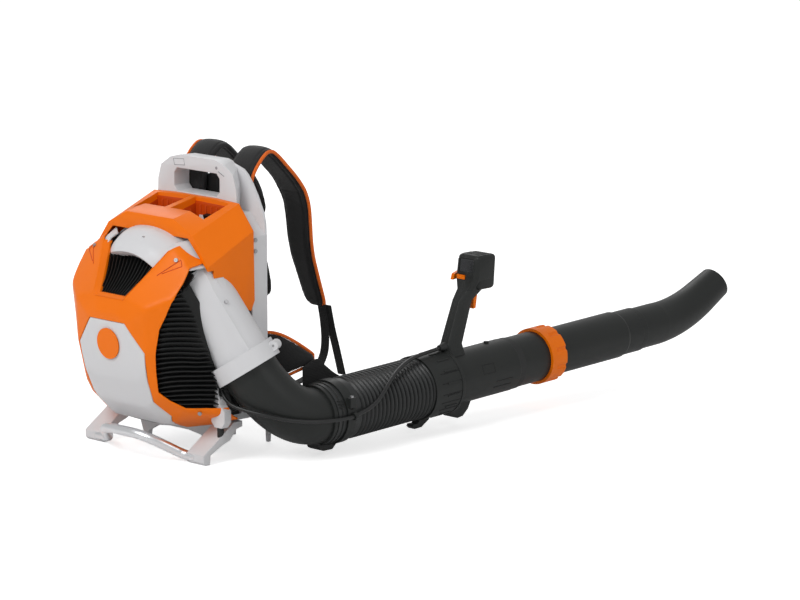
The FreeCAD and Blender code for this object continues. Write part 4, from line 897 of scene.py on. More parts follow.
@dataclass
class DomeForm:
    """Smooth outer form of the rear casing, which the covers follow."""

    sections: tuple = (
        (-140.0, ((78, 40), (178, 78), (190, 200), (182, 330), (112, 416))),
        (-178.0, ((70, 52), (162, 88), (174, 200), (168, 322), (104, 404))),
        (-222.0, ((66, 61), (130, 96), (160, 190), (154, 348), (90, 386))),
        (-262.0, ((66, 98), (98, 128), (120, 195), (134, 304), (62, 334))),
        (-287.0, ((56, 148), (76, 160), (90, 205), (91, 284), (34, 300))),
        (-294.0, ((36, 176), (48, 186), (56, 220), (50, 254), (28, 266))),
    )
    tilts: tuple = (0.0, 0.0, 0.0, 0.0, 0.05, 0.09)
    tilt_z: float = 211.0
    cap_y: float = -289.5
    crease: float = 0.62
    ray_from: float = -600.0
    near_y: float = -200.0
    weld: float = 0.6
    edge: float = 0.8

    def __post_init__(self) -> None:
        """Builds the form and its search tree."""
        rows = []
        for (y, half), tilt in zip(self.sections, self.tilts):
            rows.append([(x, y - (z - self.tilt_z) * tilt, z) for x, z in mirrored(half)])
        form = Bench.skin("dome_form", rows, wrap=True)
        Bench.edit(form, all_selected=False)
        bpy.ops.object.mode_set(mode="OBJECT")
        for vertex in form.data.vertices:
            vertex.select = vertex.co.y < self.cap_y * MM
        for edge in form.data.edges:
            edge.select = all(form.data.vertices[i].select for i in edge.vertices)
        bpy.ops.object.mode_set(mode="EDIT")
        bpy.ops.mesh.select_mode(type="EDGE")
        bpy.ops.mesh.edge_face_add()
        bpy.ops.mesh.select_all(action="SELECT")
        bpy.ops.transform.edge_crease(value=self.crease)
        bpy.ops.mesh.normals_make_consistent(inside=False)
        Bench.rest()
        Bench.modify(form, "SUBSURF", levels=4, render_levels=4)
        self.tree = BVHTree.FromPolygons([v.co / MM for v in form.data.vertices],
                                         [list(p.vertices) for p in form.data.polygons])
        bpy.data.objects.remove(form)

    def cast(self, x: float, z: float, depth: float = 0.0) -> Vector:
        """Point of the form at a place in X and Z.

        Args:
            x: Place along X.
            z: Place along Z.
            depth: Distance under the form.

        Returns:
            The point.
        """
        hit, normal, _, _ = self.tree.ray_cast(Vector((x, self.ray_from, z)), Vector((0, 1, 0)))
        if hit is None:
            hit, normal, _, _ = self.tree.find_nearest(Vector((x, self.near_y, z)))
        if normal.y > 0.2:
            normal = -normal
        return hit - normal.normalized() * depth

    def sheet(self, name: str, outline: Sequence[Point], depth: float, thick: float = 3.0,
              cell: float = 6.0) -> bpy.types.Object:
        """Shell that follows the form inside an outline.

        Args:
            name: The piece's name.
            outline: Corners in X and Z.
            depth: Distance under the form.
            thick: Wall thickness.
            cell: Size of the mesh's cells.

        Returns:
            The shell.
        """
        obj = Bench.face(name, [(x, 0, z) for x, z in outline])
        Bench.edit(obj)
        bpy.ops.mesh.quads_convert_to_tris(ngon_method="BEAUTY")
        for axis in (0, 2):
            low = min(p[axis // 2] for p in outline)
            high = max(p[axis // 2] for p in outline)
            normal = Vector((0, 0, 0))
            normal[axis] = 1.0
            for k in range(1, int((high - low) / cell) + 1):
                middle = Vector((0, 0, 0))
                middle[axis] = (low + k * cell) * MM
                bpy.ops.mesh.select_all(action="SELECT")
                bpy.ops.mesh.bisect(plane_co=middle, plane_no=normal)
        bpy.ops.mesh.select_all(action="SELECT")
        bpy.ops.mesh.remove_doubles(threshold=self.weld * MM)
        Bench.rest()
        for vertex in obj.data.vertices:
            vertex.co = self.cast(vertex.co.x / MM, vertex.co.z / MM, depth) * MM
        Bench.edit(obj)
        bpy.ops.mesh.normals_make_consistent(inside=False)
        Bench.rest()
        if sum(p.normal.y * p.area for p in obj.data.polygons) > 0:
            Bench.edit(obj)
            bpy.ops.mesh.flip_normals()
            Bench.rest()
        Bench.modify(obj, "SOLIDIFY", thickness=thick * MM, offset=-1.0)
        Bench.modify(obj, "BEVEL", width=self.edge * MM, segments=2, limit_method="ANGLE",
                     angle_limit=math.radians(50), use_clamp_overlap=False)
        Bench.smooth(obj, 40)
        return obj


@dataclass
class RearCover:
    """Orange cover frame and light grey panel, with the window's slope, the flanges and the arms' marks,
    which are painted shade in their recesses.
    """

    dome: DomeForm
    window: tuple = ((38.3, 293), (86, 379.5))
    lip: tuple = ((33, 302), (76, 381))
    lip_steps: int = 12
    lip_depth: float = 7.0
    lip_over: float = 0.2
    lip_turns: tuple = (3.0, 5.0)
    arm: tuple = ((86, 379.5), (97, 388), (137, 361), (138, 330), (134, 302), (122, 272), (111, 247),
                  (104, 208), (99, 171), (96, 131), (108, 114), (126, 101), (170, 100), (170, 76), (120, 60),
                  (67, 50))
    panel: tuple = ((67, 50), (80, 64), (92, 82), (86, 97), (81, 111), (83, 142), (85, 172), (87, 203),
                    (46, 253))
    panel_gap: float = 0.8
    flange: tuple = ((78, 368), (76, 394), (97, 399), (147, 366), (143, 354), (120, 352), (96, 364))
    flange_depth: float = 4.5
    recess: tuple = ((84, 338), (116, 366), (123, 356), (84, 338))
    recess_steps: int = 5
    recess_depth: float = 0.1
    recess_line: float = 0.9

    def window_lip(self) -> None:
        """Builds the slope between the frame and the window."""
        outer = [(-x, z) for x, z in reversed(self.window)] + list(self.window)
        inner = [(-x, z) for x, z in reversed(self.lip)] + list(self.lip)
        rows = []
        for k in range(len(outer) - 1):
            for i in range(self.lip_steps + (k == len(outer) - 2)):
                share = i / self.lip_steps
                a, b = (Vector(line[k]).lerp(Vector(line[k + 1]), share) for line in (outer, inner))
                top = self.dome.cast(a.x, a.y, -self.lip_over)
                low = self.dome.cast(b.x, b.y, self.lip_depth)
                rows.append([top + Vector((0, self.lip_turns[0], 0)), top, low,
                             low + Vector((0, self.lip_turns[1], 0))])
        lip = Bench.skin("window_lip", rows)
        Bench.smooth(lip, 25)
        deliver(lip, "machine", Finish.ORANGE)

    def casing_flange(self) -> None:
        """Builds the light grey flange that shows past the ends of the arms."""
        for sign, side in SIDES:
            outline = [(sign * x, z) for x, z in self.flange]
            flange = self.dome.sheet(f"casing_flange_{side}", outline, self.flange_depth, cell=7.0)
            deliver(flange, "machine", Finish.LIGHT)

    def arm_marks(self) -> None:
        """Builds a dark orange line frame beside each arm's screw: painted shade in the narrow recess there.
        """
        steps = self.recess_steps
        for sign, side in SIDES:
            points = []
            for (x0, z0), (x1, z1) in zip(self.recess, self.recess[1:]):
                points += [self.dome.cast(sign * (x0 + (x1 - x0) * t / steps),
                                          z0 + (z1 - z0) * t / steps, self.recess_depth)
                           for t in range(steps)]
            mark = Bench.tube(f"arm_recess_{side}", points, self.recess_line, 8)
            Bench.smooth(mark, 60)
            # The darker orange line is painted shade in the recess.
            deliver(mark, "machine", Finish.DEEP_ORANGE)

    def cover_frame(self) -> None:
        """Builds the orange frame round the intake window."""
        half = list(self.window) + list(self.arm[1:]) + list(self.panel[1:])
        frame_piece = self.dome.sheet("cover_frame", mirrored(half), 0.0, cell=5.0)
        deliver(frame_piece, "machine", Finish.ORANGE, ["rear_cover_frame"])

    def lower_panel(self) -> None:
        """Builds the light grey panel, set a little lower than the frame."""
        gap = self.panel_gap
        half = [(x - 1.0, z + (gap if z < 60 else -gap if z > 240 else 0)) for x, z in self.panel]
        panel = self.dome.sheet("cover_panel", mirrored(half), gap)
        deliver(panel, "machine", Finish.LIGHT, ["rear_cover_panel"])

    def build(self) -> None:
        """Builds the cover's pieces."""
        self.cover_frame()
        self.window_lip()
        self.casing_flange()
        self.arm_marks()
        self.lower_panel()


@dataclass
class IntakeGrille:
    """Dark ribs round the intake with the wall behind them.

    window_z holds the lowest Z of the window's ribs and their height. window_x holds their half spread below,
    what the spread grows by, and their bow.
    """

    dome: DomeForm
    side_pitch: float = 8.9
    side_count: int = 27
    rib_depth: float = 9.0
    rib_taper: float = 0.6
    side_width: float = 2.6
    low_z: float = 84.0
    inner_x: float = 72.0
    outer_x: float = 172.0
    climb_width: float = 98.0
    climb: float = 12.0
    bow: float = 7.0
    side_steps: int = 14
    window_count: int = 15
    window_steps: int = 10
    window_z: tuple = (288, 90)
    window_x: tuple = (38, 40, 10)
    window_bend: float = 3.1
    window_width: float = 2.2
    window_depth: float = 9.0
    duct_edge: tuple = ((122, 345), (140, 303), (157, 240), (166, 190), (166, 150), (162, 80))
    wall_edge: tuple = ((86, 398), (134, 372), (158, 300), (172, 230), (184, 172), (182, 96), (166, 74),
                        (120, 56), (60, 50))
    wall_depth: float = 17.0

    def wall(self) -> bpy.types.Object:
        """Builds the dark wall behind the ribs."""
        return self.dome.sheet("intake_wall", mirrored(self.wall_edge), self.wall_depth, 2.0, 9.0)

    def bar(self, line: Sequence[Point], width: float, out: float = 6.0) -> bpy.types.Object:
        """Rib that stands on the form along a line in X and Z.

        Args:
            line: Points of the rib's middle.
            width: Width of the rib.
            out: Depth of the rib's outer face.

        Returns:
            The rib.
        """
        rows = []
        for i, (x, z) in enumerate(line):
            ahead = Vector(line[min(i + 1, len(line) - 1)]) - Vector(line[max(i - 1, 0)])
            side = Vector((-ahead.y, 0, ahead.x)).normalized() * (width / 2)
            top = self.dome.cast(x, z, out)
            low = self.dome.cast(x, z, out + self.rib_depth)
            rows.append([top - side * self.rib_taper, top + side * self.rib_taper, low + side, low - side])
        return Bench.skin("rib", rows, wrap=True, caps=True)

    def reach(self, z: float) -> float:
        """Furthest X of the right side's ribs, where the duct begins."""
        for (x1, z1), (x0, z0) in zip(self.duct_edge, self.duct_edge[1:]):
            if z0 <= z <= z1:
                return x0 + (x1 - x0) * (z - z0) / (z1 - z0)
        return self.outer_x

    def side_ribs(self, sign: int) -> list[bpy.types.Object]:
        """Builds the curved level ribs of one side.

        Args:
            sign: 1 for the right side, -1 for the left.

        Returns:
            The ribs.
        """
        ribs = []
        for k in range(self.side_count):
            z = self.low_z + k * self.side_pitch
            line = []
            reach = self.reach(z) if sign > 0 else self.outer_x
            for i in range(self.side_steps + 1):
                x = self.inner_x + i * (reach - self.inner_x) / self.side_steps
                share = min(1.0, max(0.0, (x - self.inner_x) / self.climb_width))
                line.append((sign * x, z + self.bow * math.sin(math.pi * share) + self.climb * share))
            ribs.append(self.bar(line, self.side_width))
        return ribs

    def window_ribs(self) -> list[bpy.types.Object]:
        """Builds the fanned ribs behind the upper window."""
        ribs = []
        (low, rise), (narrow, spread, bow) = self.window_z, self.window_x
        for k in range(self.window_count):
            share = (k + 0.5) / self.window_count * 2 - 1
            line = [(share * (narrow + spread * t) + bow * math.sin(self.window_bend * t), low + rise * t)
                    for t in (i / self.window_steps for i in range(self.window_steps + 1))]
            ribs.append(self.bar(line, self.window_width, self.window_depth))
        return ribs

    def build(self) -> None:
        """Builds the grille as one piece."""
        parts = [self.wall()] + self.side_ribs(1) + self.side_ribs(-1) + self.window_ribs()
        grille = Bench.join("intake_grille", parts)
        Bench.smooth(grille, 30)
        deliver(grille, "machine", Finish.GRILLE, ["intake_cage"])


@dataclass
class LowerRim:
    """Underside of the cover: a darker orange tongue, painted shade on the underside, and the grille's dark
    lower rim.
    """

    dome: DomeForm
    half: float = 92.0
    low_z: float = 63.0
    climb: float = 10.0
    steps: int = 16
    rim_depth: float = 2.0
    rim: tuple = ((0, 0, 0), (0, 14, -7), (0, 46, -6), (0, 46, 6))
    tongue: tuple = ((-101, 76), (-72, 58), (-66, 50), (-86, 54), (-108, 66))
    tongue_depth: float = 0.2

    def build(self) -> None:
        """Builds both pieces."""
        rows = []
        for k in range(self.steps + 1):
            x = -self.half + k * 2 * self.half / self.steps
            top = self.dome.cast(x, self.low_z + self.climb * (x / self.half) ** 2, self.rim_depth)
            rows.append([top + Vector(step) for step in self.rim])
        rim = Bench.skin("lower_rim", rows, wrap=True, caps=True)
        Bench.smooth(rim, 30)
        deliver(rim, "machine", Finish.GRILLE)
        # The tongue is a darker orange patch: painted shade on the cover's underside.
        tongue = self.dome.sheet("cover_tongue", self.tongue, self.tongue_depth, cell=5.0)
        deliver(tongue, "machine", Finish.DEEP_ORANGE)


@dataclass
class ScrollCasing:
    """Light grey scroll: the arch over the intake, which turns into the outlet duct.

    The arch runs round the fan's axis from start to turn, in degrees from +X. Its table holds the distance
    of its skin from the section's middle at turns in the section.
    """

    centre_z: float = 236.0
    turn: float = 28.9
    start: float = 124.0
    steps: int = 26
    blend_from: float = 72.0
    taper_from: float = 104.0
    taper_angle: float = 18.0
    taper: float = 0.4
    arch_radius: float = 140.0
    arch_y: float = -185.0
    root_radius: float = 125.5
    root_shift: float = 20.2
    points: int = 72
    duct_radius: float = 52.4
    duct_from: float = -157.0
    duct_to: float = -20.0
    duct_steps: int = 14
    ridge: float = 1.7
    ridge_at: float = 25.0
    ridge_width: float = 3.6
    arch: tuple = ((-90, 25), (-45, 34), (-23, 38), (0, 35.5), (17, 34.5), (40, 39), (58, 45), (65, 48.6),
                   (72, 53), (84, 60.5), (92, 65), (97.7, 67.6), (102, 56), (122, 36), (146, 27), (211, 29),
                   (270, 25))

    def arch_size(self, degrees: float) -> float:
        """Distance of the arch's skin from the section's middle.

        Args:
            degrees: Turn in the section, 0 away from the fan's axis and 90 to the rear.

        Returns:
            The distance.
        """
        turn = (degrees + 90) % 360 - 90
        for (a, low), (b, high) in zip(self.arch, self.arch[1:]):
            if a <= turn <= b:
                return low + (high - low) * (turn - a) / (b - a)
        return self.arch[-1][1]

    def duct_size(self, degrees: float) -> float:
        """Distance of the duct's skin from its axis, with the moulded ridge line."""
        off = (degrees - self.ridge_at + 180) % 360 - 180
        return self.duct_radius + self.ridge * math.exp(-(off / self.ridge_width) ** 2)

    def section(self, middle: Vector, out: Vector, rear: Vector, share: float,
                low: float = 1.0) -> list[Vector]:
        """Points round one section.

        Args:
            middle: The section's middle.
            out: Direction away from the fan's axis.
            rear: Direction to the rear.
            share: 0 for the arch's section, 1 for the duct's.
            low: Share of the arch's own height.

        Returns:
            The points.
        """
        points = []
        for k in range(self.points):
            degrees = k * 360.0 / self.points
            size = self.arch_size(degrees) * low * (1 - share) + self.duct_size(degrees) * share
            turn = math.radians(degrees)
            points.append(middle + out * (size * math.cos(turn)) + rear * (size * math.sin(turn)))
        return points

    def build(self) -> None:
        """Builds the scroll as one loft, from the arch's start to the duct's end."""
        out_end = Vector((math.cos(math.radians(self.turn)), 0, math.sin(math.radians(self.turn))))
        rear_end = DUCT.axis.cross(out_end).normalized()
        rows = []
        for k in range(self.steps + 1):
            angle = self.start + (self.turn - self.start) * k / self.steps
            share = max(0.0, min(1.0, (self.blend_from - angle) / (self.blend_from - self.turn)))
            share = share * share * (3 - 2 * share)
            out = Vector((math.cos(math.radians(angle)), 0, math.sin(math.radians(angle))))
            rear = Vector((0, -1, 0)).lerp(rear_end, share).normalized()
            radius = self.arch_radius + (self.root_radius - self.arch_radius) * share
            middle = out * radius + Vector((0, self.arch_y + self.root_shift * share, self.centre_z))
            low = 1.0 - self.taper * max(0.0, min(1.0, (angle - self.taper_from) / self.taper_angle))
            rows.append(self.section(middle, out, rear, share, low))
        for k in range(1, self.duct_steps + 1):
            distance = self.duct_from + (self.duct_to - self.duct_from) * k / self.duct_steps
            rows.append(self.section(DUCT.at(distance), out_end, rear_end, 1.0))
        scroll = Bench.skin("scroll_casing", rows, wrap=True, caps=True)
        Bench.smooth(scroll, 28)
        deliver(scroll, "machine", Finish.LIGHT, ["fan_casing_rear"])


class PadMaker:
    """Turns closed shapes into padded fabric. Each swell holds inflate's settings for a kind of pad."""

    settle_steps = 20
    strap_swell = {"voxel": 4.0, "cap": 1.5, "pressure": 3.0}
    cushion_swell = {"voxel": 5.0, "cap": 2.0, "pressure": 4.0}

    @staticmethod
    def inflate(obj: bpy.types.Object, voxel: float, cap: float, pressure: float) -> None:
        """Remeshes a pad evenly and lets cloth under pressure swell it.

        Args:
            obj: The pad, a little smaller than it ends.
            voxel: Cell size in millimetres.
            cap: Furthest that a point may move, in millimetres.
            pressure: Pressure inside the cloth.
        """
        Bench.hold(obj)
        obj.data.remesh_voxel_size = voxel * MM
        bpy.ops.object.voxel_remesh()
        rest = [vertex.co.copy() for vertex in obj.data.vertices]
        cloth = obj.modifiers.new("cloth", "CLOTH")
        cloth.settings.quality = 5
        cloth.settings.use_pressure = True
        cloth.settings.uniform_pressure_force = pressure
        cloth.settings.effector_weights.gravity = 0
        for step in range(1, PadMaker.settle_steps + 1):
            bpy.context.scene.frame_set(step)
        Bench.hold(obj)
        bpy.ops.object.modifier_apply(modifier="cloth")
        bpy.context.scene.frame_set(1)
        for vertex, start in zip(obj.data.vertices, rest):
            moved = vertex.co - start
            if moved.length > cap * MM:
                vertex.co = start + moved.normalized() * (cap * MM)
        Bench.modify(obj, "SUBSURF", levels=1, render_levels=1)
        Bench.smooth(obj, 180)

    @staticmethod
    def press(obj: bpy.types.Object, gap: Callable[[Vector], float], width: float, depth: float) -> None:
        """Sews channels into a pad.

        Args:
            obj: The pad.
            gap: Distance in millimetres from a point to the nearest seam.
            width: Half width of a channel.
            depth: Depth of a channel.
        """
        normals = [vertex.normal.copy() for vertex in obj.data.vertices]
        for vertex, normal in zip(obj.data.vertices, normals):
            near = gap(vertex.co / MM)
            if near < width:
                vertex.co -= normal * (depth * MM * (1 - (near / width) ** 2))


PAD_SECTION = ((-0.94, 0.08), (-0.6, 0.0), (-0.2, 0.0), (0.2, 0.0), (0.6, 0.0), (0.94, 0.08), (1.0, 0.34),
               (0.95, 0.64), (0.72, 0.86), (0.36, 0.97), (0.0, 1.0), (-0.36, 0.97), (-0.72, 0.86),
               (-0.95, 0.64), (-1.0, 0.34))


def pad_ring(base: Vector, across: Vector, out: Vector, width: float, thick: float) -> list[Vector]:
    """Closed section of a pad with a crowned outside.

    Args:
        base: Middle of the section's inner side.
        across: Direction of its width.
        out: Direction of its thickness.
        width: Width.
        thick: Thickness.

    Returns:
        Points round the section.
    """
    half = width / 2
    return [base + across * (half * a) + out * (thick * b) for a, b in PAD_SECTION]


def spline(points: Sequence[Point], steps: int) -> list[Vector]:
    """Smooth chain through points of any number of values.

    Args:
        points: The points.
        steps: Steps between two points.

    Returns:
        Points of the chain.
    """
    rows = [Vector(p) for p in points]
    chain = []
    for i in range(len(rows) - 1):
        before = rows[max(i - 1, 0)]
        start, end = rows[i], rows[i + 1]
        after = rows[min(i + 2, len(rows) - 1)]
        for k in range(steps):
            t = k / steps
            bend = (2 * before - 5 * start + 4 * end - after) * t * t
            twist = (3 * start - before - 3 * end + after) * t ** 3
            chain.append(0.5 * (2 * start + (end - before) * t + bend + twist))
    chain.append(rows[-1].copy())
    return chain


@dataclass
class ShoulderStrap:
    """Padded shoulder strap with piping at its outer edge.

    A station holds the Y, Z and X of the strap's middle and its width. thin and narrow hold the share of the
    thickness or the width at the end, what it gains for each step and the steps that it takes.
    """

    sign: int
    side: str
    stations: tuple = ((-33.2, 436, 58, 64), (-33, 464, 58, 65), (-30.8, 488, 58, 67), (-16, 509, 58, 67),
                       (2, 527, 58, 67), (16, 532, 58, 67), (30, 526, 58, 67), (54, 503, 58, 67),
                       (90, 468, 58, 67), (111, 435, 58, 67), (116, 393, 59, 65), (118, 338, 62, 60),
                       (132, 294, 64, 55), (145, 256, 65.5, 51), (151, 237, 69, 44),
                       (153, 229, 71, 34))
    steps: int = 4
    thick: float = 13.0
    thin: tuple = (0.55, 0.45, 3)
    narrow: tuple = (0.8, 0.1, 2)
    seam_share: float = 0.36
    channel: tuple = (2.6, 1.1)
    piping_radius: float = 3.3
    piping_out: float = 0.8
    piping_under: float = 0.5

    def route(self) -> list[tuple[Vector, Vector, float, float]]:
        """Points of the strap's middle with the outward direction, width and thickness."""
        first = [Vector(s) for s in self.stations]
        chain = []
        for i in range(len(first) - 1):
            for k in range(self.steps):
                chain.append(first[i].lerp(first[i + 1], k / self.steps))
        chain.append(first[-1])
        smooth = []
        for i in range(len(chain)):
            near = chain[max(0, i - 2):i + 3]
            total = Vector((0, 0, 0, 0))
            for one in near:
                total += one
            smooth.append(total / len(near) if 1 < i < len(chain) - 2 else chain[i])
        points = [Vector((self.sign * s[2], s[0], s[1])) for s in smooth]
        result = []
        for i, (point, station) in enumerate(zip(points, smooth)):
            ahead = points[min(i + 1, len(points) - 1)] - points[max(i - 1, 0)]
            out = Vector((1, 0, 0)).cross(ahead).normalized()
            left = len(points) - 1 - i
            thick = self.thick * (self.thin[0] + self.thin[1] * min(1.0, min(i, left) / self.thin[2]))
            share = 1.0 if left > self.narrow[2] else self.narrow[0] + self.narrow[1] * left
            result.append((point, out, station[3] * share, thick))
        return result

    def pad(self) -> None:
        """Builds the padded strap."""
        middle = self.route()
        rows = [pad_ring(point - out * thick / 2, Vector((1, 0, 0)), out, width - 2, thick)
                for point, out, width, thick in middle]
        strap = Bench.skin(f"strap_pad_{self.side}", rows, wrap=True, caps=True)
        PadMaker.inflate(strap, **PadMaker.strap_swell)

        def gap(p: Vector) -> float:
            """Distance to the seam that runs inside the strap's edges."""
            near = min(middle, key=lambda r: (r[0] - p).length_squared)
            return abs(abs(p.x - near[0].x) - near[2] * self.seam_share)

        PadMaker.press(strap, gap, *self.channel)
        deliver(strap, "machine", Finish.FABRIC, [f"shoulder_strap_{self.side}"])

    def piping(self) -> None:
        """Builds the orange binding along the outer edge."""
        line = [point + Vector((self.sign * (width / 2 + self.piping_out), 0, 0)) - out * self.piping_under
                for point, out, width, _ in self.route()]
        edge = Bench.tube(f"strap_piping_{self.side}", line[1:-1], self.piping_radius, 12, flat=0.85,
                          up=(1, 0, 0))
        Bench.smooth(edge, 60)
        deliver(edge, "machine", Finish.PIPING, ["strap_bindings"])

    def build(self) -> None:
        """Builds the strap."""
        self.pad()
        self.piping()


@dataclass
class Webbing:
    """Flat straps under the pads. A point of the belt has its width as a fourth value."""

    width: float = 20.0
    thick: float = 2.0
    load: tuple = ((84, 150, 232), (93, 148, 200), (101, 143, 166), (106, 132, 140), (112, 106, 118),
                   (116, 60, 105), (117, 0, 101), (117, -40, 101))
    tail: tuple = ((96, 153, 232), (105, 155, 190), (114, 159, 150), (122, 165, 104))
    belt: tuple = ((164, 24, 124, 40), (168, 56, 134, 44), (167, 80, 117, 44), (165, 106, 100, 42),
                   (158, 146, 84, 36))

    def ribbon(self, name: str, points: Sequence[Point], upright: bool = False) -> bpy.types.Object:
        """Thin band along points.

        Args:
            name: The piece's name.
            points: Points of its middle, and its width as a fourth value if it varies.
            upright: Has its width along Z, not along X.

        Returns:
            The band.
        """
        across = Vector((0, 0, 1)) if upright else Vector((1, 0, 0))
        rows = []
        for point in spline(points, 6):
            half = (point[3] if len(point) > 3 else self.width) / 2
            middle = Vector(point[:3])
            rows.append([middle + across * (half * t) for t in (-1, -0.5, 0, 0.5, 1)])
        band = Bench.skin(name, rows)
        Bench.modify(band, "SOLIDIFY", thickness=self.thick * MM, offset=0.0)
        Bench.round_edges(band, 0.5, 2, 50)
        return band

    def build(self) -> None:
        """Builds the webbing of both sides."""
        for sign, side in SIDES:
            bands = [self.ribbon(name, [(sign * point[0], *point[1:]) for point in points], name == "belt")
                     for name, points in (("load", self.load), ("tail", self.tail), ("belt", self.belt))]
            band = Bench.join(f"webbing_{side}", bands)
            deliver(band, "machine", Finish.WEBBING, ["webbing"])


@dataclass
class HipBelt:
    """Padded hip belt wing with piping round its edge. A station holds its middle and its height."""

    sign: int
    side: str
    stations: tuple = ((107, -34.5, 162, 88), (124, -17, 163, 90), (138, 0, 164, 76), (149, 20, 162, 54),
                       (154, 40, 158, 34), (156, 58, 153, 18))
    thick: float = 13.0
    end_share: float = 0.6
    piping_radius: float = 3.0
    piping_out: float = 0.6

    def build(self) -> None:
        """Builds the wing and its piping."""
        chain = spline(self.stations, 4)
        rows, upper, lower = [], [], []
        for i, point in enumerate(chain):
            ahead = Vector(chain[min(i + 1, len(chain) - 1)][:3]) - Vector(chain[max(i - 1, 0)][:3])
            out = Vector((ahead.y, -ahead.x, 0)).normalized()
            middle = Vector(point[:3])
            thick = self.thick * (1.0 if i < len(chain) - 2 else self.end_share)
            rows.append([Vector((self.sign * p.x, p.y, p.z)) for p in
                         pad_ring(middle - out * thick / 2, Vector((0, 0, 1)), out, point[3] - 2, thick)])
            for edge, line in ((1, upper), (-1, lower)):
                spot = middle + Vector((0, 0, edge * (point[3] / 2 + self.piping_out)))
                line.append(Vector((self.sign * spot.x, spot.y, spot.z)))
        wing = Bench.skin(f"hip_pad_{self.side}", rows, wrap=True, caps=True)
        PadMaker.inflate(wing, **PadMaker.strap_swell)
        deliver(wing, "machine", Finish.FABRIC, [f"hip_belt_{self.side}"])
        rim = Bench.tube(f"hip_piping_{self.side}", upper + lower[::-1], self.piping_radius, 12,
                         up=(0, 1, 0))
        Bench.smooth(rim, 60)
        deliver(rim, "machine", Finish.PIPING, ["belt_bindings"])


@dataclass
class BackPad:
    """Back cushion with sewn channels. A station holds its Z, its half width and its thickness."""

    lower: tuple = ((124, 84, 9), (140, 87, 18), (160, 90, 23), (182, 93, 24), (200, 95, 20), (212, 99, 12),
                    (220, 103, 12), (240, 110, 20), (264, 118, 25), (286, 123, 25), (304, 126, 20),
                    (314, 127, 12), (322, 128, 12), (344, 129, 22), (368, 130, 24), (392, 129, 22),
                    (414, 126, 17))
    upper: tuple = ((434, 121, 12), (454, 116, 12), (472, 103, 12), (484, 88, 7))
    lower_y: float = -41.5
    upper_y: float = -21.8
    seams: tuple = (216.0, 318.0)
    seam_x: float = 34.0
    seam_from_y: float = -36.0
    channel: tuple = (4.0, 1.8)

    def build(self) -> None:
        """Builds the cushion."""
        rows = []
        for stations, y in ((self.lower, self.lower_y), (self.upper, self.upper_y)):
            for z, half, thick in stations:
                rows.append(pad_ring(Vector((0, y, z)), Vector((1, 0, 0)), Vector((0, 1, 0)), 2 * half - 3,
                                     thick - 1))
        pad = Bench.skin("back_cushion", rows, wrap=True, caps=True)
        PadMaker.inflate(pad, **PadMaker.cushion_swell)

        def gap(p: Vector) -> float:
            """Distance to the upright seams and to the cross channels."""
            cross = min(abs(p.z - seam) for seam in self.seams)
            return min(cross, abs(abs(p.x) - self.seam_x)) if p.y > self.seam_from_y else math.inf

        PadMaker.press(pad, gap, *self.channel)
        deliver(pad, "machine", Finish.FABRIC, ["back_pad"])


@dataclass
class RibbedHose:
    """Ribbed hose in two lengths, one for each of its two bends."""

    start: float = -8.0
    end: float = 302.0
    first: float = TUBE.bend_from
    last: float = TUBE.bend_to
    split: float = TUBE.bend_split
    ribs: int = 18
    crest: float = 57.0
    root: float = 51.0
    plain: float = 56.0
    plain_gap: float = 3.0
    squareness: float = 0.55
    fullness: float = 1.04
    wall: float = 2.5
    step: float = 1.26
    sides: int = 48

    def radius(self, y: float) -> float:
        """Outer radius at a distance along Y."""
        if y < self.first - self.plain_gap or y > self.last + self.plain_gap:
            return self.plain
        pitch = (self.last - self.first) / self.ribs
        share = ((y - self.first) / pitch) % 1.0
        wave = 0.5 - 0.5 * math.cos(2 * math.pi * share)
        return self.root + (self.crest - self.root) * min(1.0, wave ** self.squareness * self.fullness)

    def length(self, name: str, y0: float, y1: float) -> bpy.types.Object:
        """Builds one length of the hose with its wall.

        Args:
            name: The piece's name.
            y0: Where it starts.
            y1: Where it ends.

        Returns:
            The length.
        """
        steps = int((y1 - y0) / self.step)
        rows = []
        for k in range(steps + 1):
            y = y0 + (y1 - y0) * k / steps
            rows.append([TUBE.on(y, self.radius(y), 360.0 / self.sides * i) for i in range(self.sides)])
        hose = Bench.skin(name, rows, wrap=True)
        Bench.modify(hose, "SOLIDIFY", thickness=self.wall * MM, offset=-1.0)
        Bench.smooth(hose, 60)
        return hose

    def build(self) -> None:
        """Builds both lengths."""
        joins = (("hose_rear", self.start, self.split, "elbow_body", "hose", self.first, self.split),
                 ("hose_front", self.split, self.end, "hose", "handle_body", self.split, self.last))
        for name, y0, y1, a, b, start, end in joins:
            hose = self.length(name, y0, y1)
            deliver_between(hose, (a, b), Finish.HOSE, "bellows")


